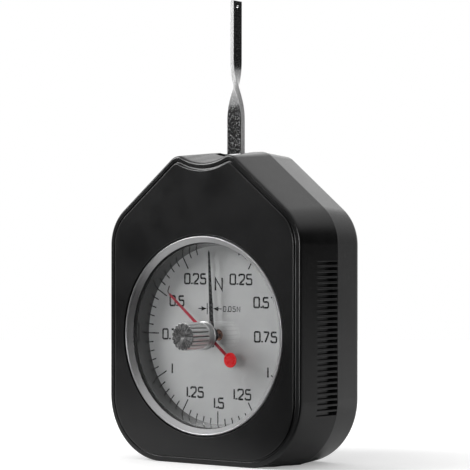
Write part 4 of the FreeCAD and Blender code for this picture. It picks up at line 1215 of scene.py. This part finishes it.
def fluted_skin():
    """Radius = profile radius less a narrow bell-shaped valley, repeated round the drum."""
    parts = ((END_FACE, KNOB_FACE), (RUN_OUT, FLUTE_END), (FOOT, KNOB_FOOT), (STEM, KNOB_FACE))
    rows = np.vstack([np.array(part) + (0, start, 0) for part, start in parts])
    columns = FLUTES * POINTS_PER_FLUTE
    angle = np.arange(columns) * 2 * np.pi / columns
    phase = (np.arange(columns) % POINTS_PER_FLUTE) / POINTS_PER_FLUTE - 0.5
    valley = np.exp(-((phase / FLUTE_WIDTH) ** 2))
    crown = RIDGE_CROWN * (np.abs(np.abs(phase) - 0.5) * 2) ** 2
    radius = rows[:, :1] - rows[:, 2:] * (FLUTE_DEPTH * valley + crown)
    return skin(round_axis(radius, rows[:, 1:2], WINDOW, angle))


make_piece("fluted_knob", [fluted_skin()], "peak", KNOB_METAL, "bright_metal", "reset_knob")

# %% [markdown]
# Behind the glass the red pointer carries a round weight on its tail. The weight is a small turned
# disc with a soft edge and the head of the rivet that holds it.

# %% Turn the red weight
weight_low, weight_high = span("peak_weight")
weight_centre = ((weight_low + weight_high) / 2)[[0, 2]]
WEIGHT_RADIUS = (weight_high[0] - weight_low[0]) / 2
WEIGHT_FRONT, WEIGHT_BACK = weight_low[1], weight_high[1]
weight_profile = rounded(
    [(0, WEIGHT_FRONT + 0.12), (0.32, WEIGHT_FRONT + 0.1), (0.42, WEIGHT_FRONT),
     (WEIGHT_RADIUS, WEIGHT_FRONT), (WEIGHT_RADIUS, WEIGHT_BACK), (0, WEIGHT_BACK)],
    [0.1, 0.1, 0.16, 0.02],
)
weight_skin = turned_skin(weight_profile, weight_centre, 72, False)
make_piece("red_weight", [weight_skin], "peak", WEIGHT_RED, "pointer_red", "peak_weight")

# %% [markdown]
# The pointer ends in a fine wire that is bent up and back towards the black needle, which pushes it
# along. The wire is a circle carried along a path with two rounded bends.

# %% Bend the catch
POINTER_ANGLE = np.radians(-50.6)
WIRE_RADIUS = 0.13
# across the pointer, along it from the dial's centre, and depth
WIRE_PATH = [(0.0, 15.2, -9.42), (0.0, 16.3, -9.42), (-0.05, 17.0, -9.15), (1.02, 17.95, -8.4)]
WIRE_BENDS = [0.3, 0.4]


def wire_skin(path, radius, columns=12):
    """A tube: each ring lies across the path, spanned by two directions at right angles to it."""
    tangent = np.gradient(path, axis=0)
    tangent /= np.linalg.norm(tangent, axis=1, keepdims=True)
    first = np.cross(tangent, [1.0, 0.0, 0.3])
    first /= np.linalg.norm(first, axis=1, keepdims=True)
    second = np.cross(tangent, first)
    angle = np.linspace(0, 2 * np.pi, columns, endpoint=False)[None, :, None]
    grid = path[:, None] + radius * (np.cos(angle) * first[:, None] + np.sin(angle) * second[:, None])
    return skin(grid, caps=True)


def on_pointer(path, angle):
    """Turns (across, along, depth) points of the pointer into places on the gauge."""
    across, along, depth = path.T
    x = along * np.sin(angle) + across * np.cos(angle)
    z = DIAL_HEIGHT + along * np.cos(angle) - across * np.sin(angle)
    return surface(x, depth, z)


catch_skin = wire_skin(on_pointer(rounded(WIRE_PATH, WIRE_BENDS), POINTER_ANGLE), WIRE_RADIUS)
make_piece("catch_wire", [catch_skin], "peak", CATCH_PAINT, "pointer_red", "peak_catch")

# %% [markdown]
# The contact arm is one steel strip. Its section is a rectangle with broken edges, carried up the
# arm while it turns by a quarter and narrows. The turn is eased, so it starts and ends softly, and a
# small hole is drilled through the blade near its tip. Rolled faces are dark and glossy, and the
# sheared edges carry a painted highlight, brighter below the twist, so the finish follows the same twist.

# %% Draw the contact arm
ARM_PLANE = 1.5
ARM_SIZE = np.array([4.55, 1.5])
BLADE_SIZE = np.array([3.45, 1.1])
TWIST_START = 86.2
TWIST_END = 101.4
ARM_BOTTOM = span("contact_arm")[0][2]
ARM_TOP = span("contact_arm")[1][2]
EDGE_BREAK = 0.12
TIP_HOLE = 0.5
TIP_HOLE_HEIGHT = ARM_TOP - 1.5
ARM_SCREW_HOLE = 0.7
SCREW_HEIGHTS = (4.6, 7.4)


def strip_section(size):
    """Points round a rectangle of a width and a thickness, each corner a small round of four."""
    corner = np.array([(1, 1), (-1, 1), (-1, -1), (1, -1)])[:, None]
    first = np.arctan2(corner[..., 1], corner[..., 0]) - np.pi / 4
    angle = first + np.linspace(0, np.pi / 2, 4)
    round_off = EDGE_BREAK * np.stack([np.cos(angle), np.sin(angle)], -1)
    return (corner * (size / 2 - EDGE_BREAK) + round_off).reshape(-1, 2)


def arm_skin():
    """Sections up the arm: share = eased height through the twist, turned by a quarter times share."""
    heights = np.concatenate(
        [
            [ARM_BOTTOM, ARM_BOTTOM + EDGE_BREAK, 70.0, 78.0, TWIST_START - 1],
            np.linspace(TWIST_START, TWIST_END, 61),
            [TWIST_END + 1, 108.0, ARM_TOP - EDGE_BREAK, ARM_TOP],
        ]
    )
    t = np.clip((heights - TWIST_START) / (TWIST_END - TWIST_START), 0, 1)
    ends = np.minimum(heights - ARM_BOTTOM, ARM_TOP - heights)
    rows = []
    for height, share, less in zip(heights, t * t * (3 - 2 * t), np.clip(EDGE_BREAK - ends, 0, None) * 2):
        across, through = strip_section(ARM_SIZE + (BLADE_SIZE - ARM_SIZE) * share - less).T
        angle = -np.pi / 2 * share
        x = across * np.cos(angle) - through * np.sin(angle)
        y = across * np.sin(angle) + through * np.cos(angle)
        rows.append(surface(x, y + ARM_PLANE, height))
    return skin(np.array(rows), caps=True)


def arm_finish():
    """Dark on the broad faces, with a painted highlight on the edges.

    The place across the strip is u = x cos a + (y - plane) sin a, where a is minus a quarter turn
    times the same eased share that twists the strip. Near the half width the painted edge highlight takes over."""
    made, tree, shader, _ = new_material("arm_steel")
    place = mapped(tree, (0.0, ARM_PLANE, 0.0))
    x, y, height = split(tree, place)
    share = between(tree, height, TWIST_START * MM, TWIST_END * MM)
    angle = times(tree, share, -np.pi / 2)
    turned = [times(tree, x, calc(tree, "COSINE", angle)), times(tree, y, calc(tree, "SINE", angle))]
    half, taper = ARM_SIZE[0] / 2 * MM, (BLADE_SIZE - ARM_SIZE)[0] / 2 * MM
    across = calc(tree, "ABSOLUTE", plus(tree, *turned))
    inside = calc(tree, "SUBTRACT", plus(tree, half, times(tree, share, taper)), across)
    edge = between(tree, inside, 0.02 * MM, 0.1 * MM, 1.0, 0.0)
    lines = use_group(tree, DRAWN, place)
    specks = between(tree, noise(tree, place, 3600.0, 2.0, 0.6), 0.56, 0.66)
    broad = blend(tree, specks, (0.34, 0.34, 0.343), (0.50, 0.50, 0.50))
    # painted highlight: the edges take a bright, less metallic tone for the light they catch, brightest below the
    # twist
    highlight_by_twist = blend(tree, share, (0.88, 0.88, 0.88), (0.56, 0.56, 0.56))
    edge_highlight = blend(tree, specks, highlight_by_twist, (0.36, 0.36, 0.36))
    dull = plus(tree, times(tree, edge, 0.3), times(tree, specks, 0.2))
    feed_all(tree, shader, {
        "Base Color": blend(tree, edge, broad, edge_highlight),
        "Metallic": calc(tree, "SUBTRACT", 1.0, times(tree, edge, 0.7)),
        "Roughness": plus(tree, dull, 0.12),
        "Normal": relief(tree, times(tree, lines["Height"], edge), 0.004, 0.6),
    })
    return made


def cross_peg(depth, height, radius, half_length, columns=32):
    """A closed round peg along X."""
    angle = np.linspace(0, 2 * np.pi, columns, endpoint=False)
    ends = np.array([[-half_length], [half_length]])
    return skin(surface(ends, depth + radius * np.cos(angle), height + radius * np.sin(angle)), caps=True)


arm = make_piece("steel_arm", [arm_skin()], "lever", arm_finish(), "steel", "contact_arm")
screw_holes = [peg((0.0, PIVOT_HEIGHT + up), ARM_SCREW_HOLE, -1, 4, 32) for up in SCREW_HEIGHTS]
cut_out(arm, [cross_peg(ARM_PLANE, TIP_HOLE_HEIGHT, TIP_HOLE, 3)] + screw_holes)

# %% [markdown]
# The dial's marks are printed. Each mark is a very thin raised ribbon: a line of points given a
# width and a film's thickness. The figures are drawn with strokes in a narrow square style, each
# from a few corner points with rounded turns.

# %% Lay ribbons of ink
INK_FILM = 0.02
INK_TOP = DIAL_FACE - INK_FILM
FIGURE_WIDTH = 0.66
FIGURE_SPREAD = 1.06
FIGURE_TURN = 0.16
DOT_SWELL = 1.25


def ribbon(path, width, closed=False):
    """A flat ribbon in the dial plane: each point is pushed half a width to either side along the
    mean of its neighbours' normals, lengthened at a bend so that the width stays even."""
    path = np.array(path, float)
    if closed:
        ahead = np.roll(path, -1, axis=0) - path
        back = path - np.roll(path, 1, axis=0)
    else:
        step = np.diff(path, axis=0)
        ahead = np.vstack([step, step[-1:]])
        back = np.vstack([step[:1], step])
    ahead /= np.linalg.norm(ahead, axis=1, keepdims=True)
    back /= np.linalg.norm(back, axis=1, keepdims=True)
    tangent = ahead + back
    tangent /= np.linalg.norm(tangent, axis=1, keepdims=True)
    normal = np.column_stack([-tangent[:, 1], tangent[:, 0]])
    stretch = 1 / np.clip(np.abs((tangent * ahead).sum(1)), 0.5, 1)
    side = normal * (width / 2 * stretch)[:, None]
    spots = np.stack([path + side, path + side, path - side, path - side], 1)
    grid = surface(spots[..., 0], (DIAL_FACE, INK_TOP, INK_TOP, DIAL_FACE), DIAL_HEIGHT + spots[..., 1])
    return skin(grid, wrap_rows=closed, caps=not closed)


def figure_strokes(sign):
    """Corner points of a figure one unit tall, and whether its stroke closes on itself."""
    wide = FIGURE_WIDTH
    return {
        "0": ([(0, 0), (wide, 0), (wide, 1), (0, 1)], True),
        "1": ([(0.04, 0), (0.04, 1)], False),
        "2": ([(0, 0.8), (0, 1), (wide, 1), (wide, 0.55), (0, 0), (wide, 0)], False),
        "5": ([(wide, 1), (0.05, 1), (0.05, 0.56), (wide, 0.56), (wide, 0), (0, 0), (0, 0.2)], False),
        "7": ([(0, 1), (wide, 1), (0.2, 0)], False),
        ".": ([(0, -0.045), (0, 0.11)], False),
        "N": ([(0, -0.04), (0, 1), (0.72, 0), (0.72, 1.04)], False),
    }[sign]


def figure_advance(sign):
    """How far the next figure starts after this one."""
    return {"1": 0.3, ".": 0.2, "N": 1.0}.get(sign, FIGURE_WIDTH + 0.215)


def turned_corners(corners, closed, radius):
    """A stroke with its turns rounded; a closed one is opened half way along its first side."""
    corners = np.array(corners, float)
    if not closed:
        return rounded(corners, [radius] * (len(corners) - 2), 5)
    middle = (corners[0] + corners[1]) / 2
    line = np.vstack([middle, corners[1:], corners[:1], middle])
    return rounded(line, [radius] * len(corners), 5)[:-1]


def figure_skins(text, centre, height, width, spread=FIGURE_SPREAD):
    """A row of figures centred on a point of the dial, as ribbons."""
    starts = np.concatenate([[0], np.cumsum([figure_advance(sign) * spread for sign in text[:-1]])])
    length = starts[-1] + max(x for x, _ in figure_strokes(text[-1])[0])
    skins = []
    for sign, start in zip(text, starts):
        corners, closed = figure_strokes(sign)
        path = turned_corners(corners, closed, 0.0 if sign in "N1." else FIGURE_TURN)
        path = (path + [start - length / 2, -0.5]) * height + centre
        skins.append(ribbon(path, width * (DOT_SWELL if sign == "." else 1.0), closed))
    return skins


print("a nought has", len(figure_skins("0", (0, 0), 1, 0.1)[0][0]), "points")

# %% [markdown]
# The scale is even: a third of a turn for each newton, both ways from the top. There is a fine mark
# every twentieth of a newton, except next to nought, and a long one with a figure every quarter.

# %% Print the scale
TURN_PER_NEWTON = 120.0
MARK_STEP = 0.05
FIRST_MARK = 3
LAST_MARK = 30
MARK_OUTER = WELL_FOOT - 0.03
MARK_INNER = 21.0
LONG_INNER = 19.1
MARK_WIDTH = 0.32
FIGURE_HEIGHT = 2.45
FIGURE_STROKE = 0.46
FIGURES = [
    ("1.5", (0.3, -17.05)),
    ("0.25", (-7.3, 14.0), (7.2, 14.0)),
    ("0.5", (-13.2, 8.35), (13.5, 8.35)),
    ("0.75", (-14.4, -0.15), (14.85, -0.15)),
    ("1", (-14.75, -8.85), (15.55, -8.85)),
    ("1.25", (-7.3, -14.6), (7.65, -14.6)),
]


def scale_marks():
    """A short or a long ribbon for each step, on both sides of the top, and one at the bottom."""
    skins = []
    for step in range(FIRST_MARK, LAST_MARK + 1):
        inner = LONG_INNER if step % 5 == 0 else MARK_INNER
        angle = np.radians(step * MARK_STEP * TURN_PER_NEWTON)
        for side in (1, -1) if step < LAST_MARK else (1,):
            out = np.array([side * np.sin(angle), np.cos(angle)])
            skins.append(ribbon([out * inner, out * MARK_OUTER], MARK_WIDTH))
    return skins


print_skins = scale_marks()
print("marks on the scale:", len(print_skins))
for text, *centres in FIGURES:
    for centre in centres:
        print_skins += figure_skins(text, centre, FIGURE_HEIGHT, FIGURE_STROKE)

# %% [markdown]
# Over the centre stands the unit, and under it a small note of what one division is worth: two bars
# a division apart with an arrow pointing at each.

# %% Print the unit and the division note
UNIT_PLACE = (0.25, 12.75)
UNIT_HEIGHT = 2.95
UNIT_STROKE = 0.5
NOTE_HEIGHT = 6.55
NOTE_CENTRE = 4.3
NOTE_SIZE = 1.22
NOTE_STROKE = 0.2
NOTE_SPREAD = 1.26
NOTE_BARS = (-3.42, -1.72)
NOTE_BAR_REACH = 1.4
NOTE_BAR_WIDTH = 0.26
ARROW_GAP = 0.14
ARROW_LENGTH = 2.7
ARROW_HEAD = 1.7
ARROW_HALF = 0.58
ARROW_SHAFT = 0.24


def arrow_and_bar(bar_x, side):
    """An upright bar, and an arrow whose head points at it from a side."""
    reaches = NOTE_HEIGHT - NOTE_BAR_REACH, NOTE_HEIGHT + NOTE_BAR_REACH
    tip = bar_x + side * ARROW_GAP
    neck = tip + side * ARROW_HEAD
    tail = tip + side * ARROW_LENGTH
    head = [(tip, NOTE_HEIGHT), (neck, NOTE_HEIGHT + ARROW_HALF), (neck, NOTE_HEIGHT - ARROW_HALF)]
    return [
        ribbon([(bar_x, z) for z in reaches], NOTE_BAR_WIDTH),
        plate_skin(np.array(head) + (0.0, DIAL_HEIGHT), DIAL_FACE, INK_TOP),
        ribbon([(neck - side * 0.1, NOTE_HEIGHT), (tail, NOTE_HEIGHT)], ARROW_SHAFT),
    ]


print_skins += figure_skins("N", UNIT_PLACE, UNIT_HEIGHT, UNIT_STROKE)
print_skins += figure_skins("0.05N", (NOTE_CENTRE, NOTE_HEIGHT), NOTE_SIZE, NOTE_STROKE, NOTE_SPREAD)
for bar_x, side in zip(NOTE_BARS, (-1, 1)):
    print_skins += arrow_and_bar(bar_x, side)
make_piece("dial_print", print_skins, "case", DIAL_INK, "dial")

# %% [markdown]
# The dial itself is a thin disc with a hole for the arbor. It is turned here on many more columns
# than its solid has, so that its rim and hole are smooth.

# %% Turn the dial
DIAL_HOLE = 1.5
DIAL_RADIUS = span("dial_plate")[1][0]
dial_skin = turned_skin(broken(washer(DIAL_HOLE, DIAL_RADIUS, DIAL_FACE, DIAL_BACK), 0.04), columns=160)
make_piece("dial_disc", [dial_skin], "case", DIAL_PAINT, "dial", "dial_plate")

# %% [markdown]
# The pieces that are left keep their own solids and only take a finish. They are the movement
# behind the dial and the flat pointers, whose shape is already right.

# %% Dress the carried-over pieces
FINISHES = [
    (RUBBER, "crystal_seal"),
    (TURNED_BRASS, "front_plate back_plate plate_pillars pivot_bushes"),
    (TURNED_BRASS, "hairspring_collet spring_collet sector_gear"),
    (TURNED_STEEL, "pillar_screws movement_screws clamp_screws stop_pins"),
    (TURNED_STEEL, "spring_studs pinion_arbor pivot_shaft peak_stem"),
    (WASHER_METAL, "arbor_bushes needle_bush friction_washer"),
    (CLAMP_STEEL, "arm_clamp"),
    (BLUED_STEEL, "measuring_spring hairspring"),
    (NEEDLE_PAINT, "force_needle"),
    (RED_PAINT, "peak_needle"),
]
finish_of = {name: finish for finish, names in FINISHES for name in names.split()}
for name, finish in finish_of.items():
    nodes[name].data.materials.clear()
    nodes[name].data.materials.append(finish)
plain = [name for name, made in nodes.items() if name not in finish_of and not made.hide_render]
print("dressed:", len(finish_of), "left plain:", plain)

# %% [markdown]
# Last, the two boxes are written down side by side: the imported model's and the dressed model's.

# %% Write the sizes and finish
json.dump(
    {"cad": [list(map(float, c)) for c in cad_box], "visual": [list(map(float, c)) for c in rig.bounds()]},
    open("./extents.json", "w"),
)
print(open("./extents.json").read())
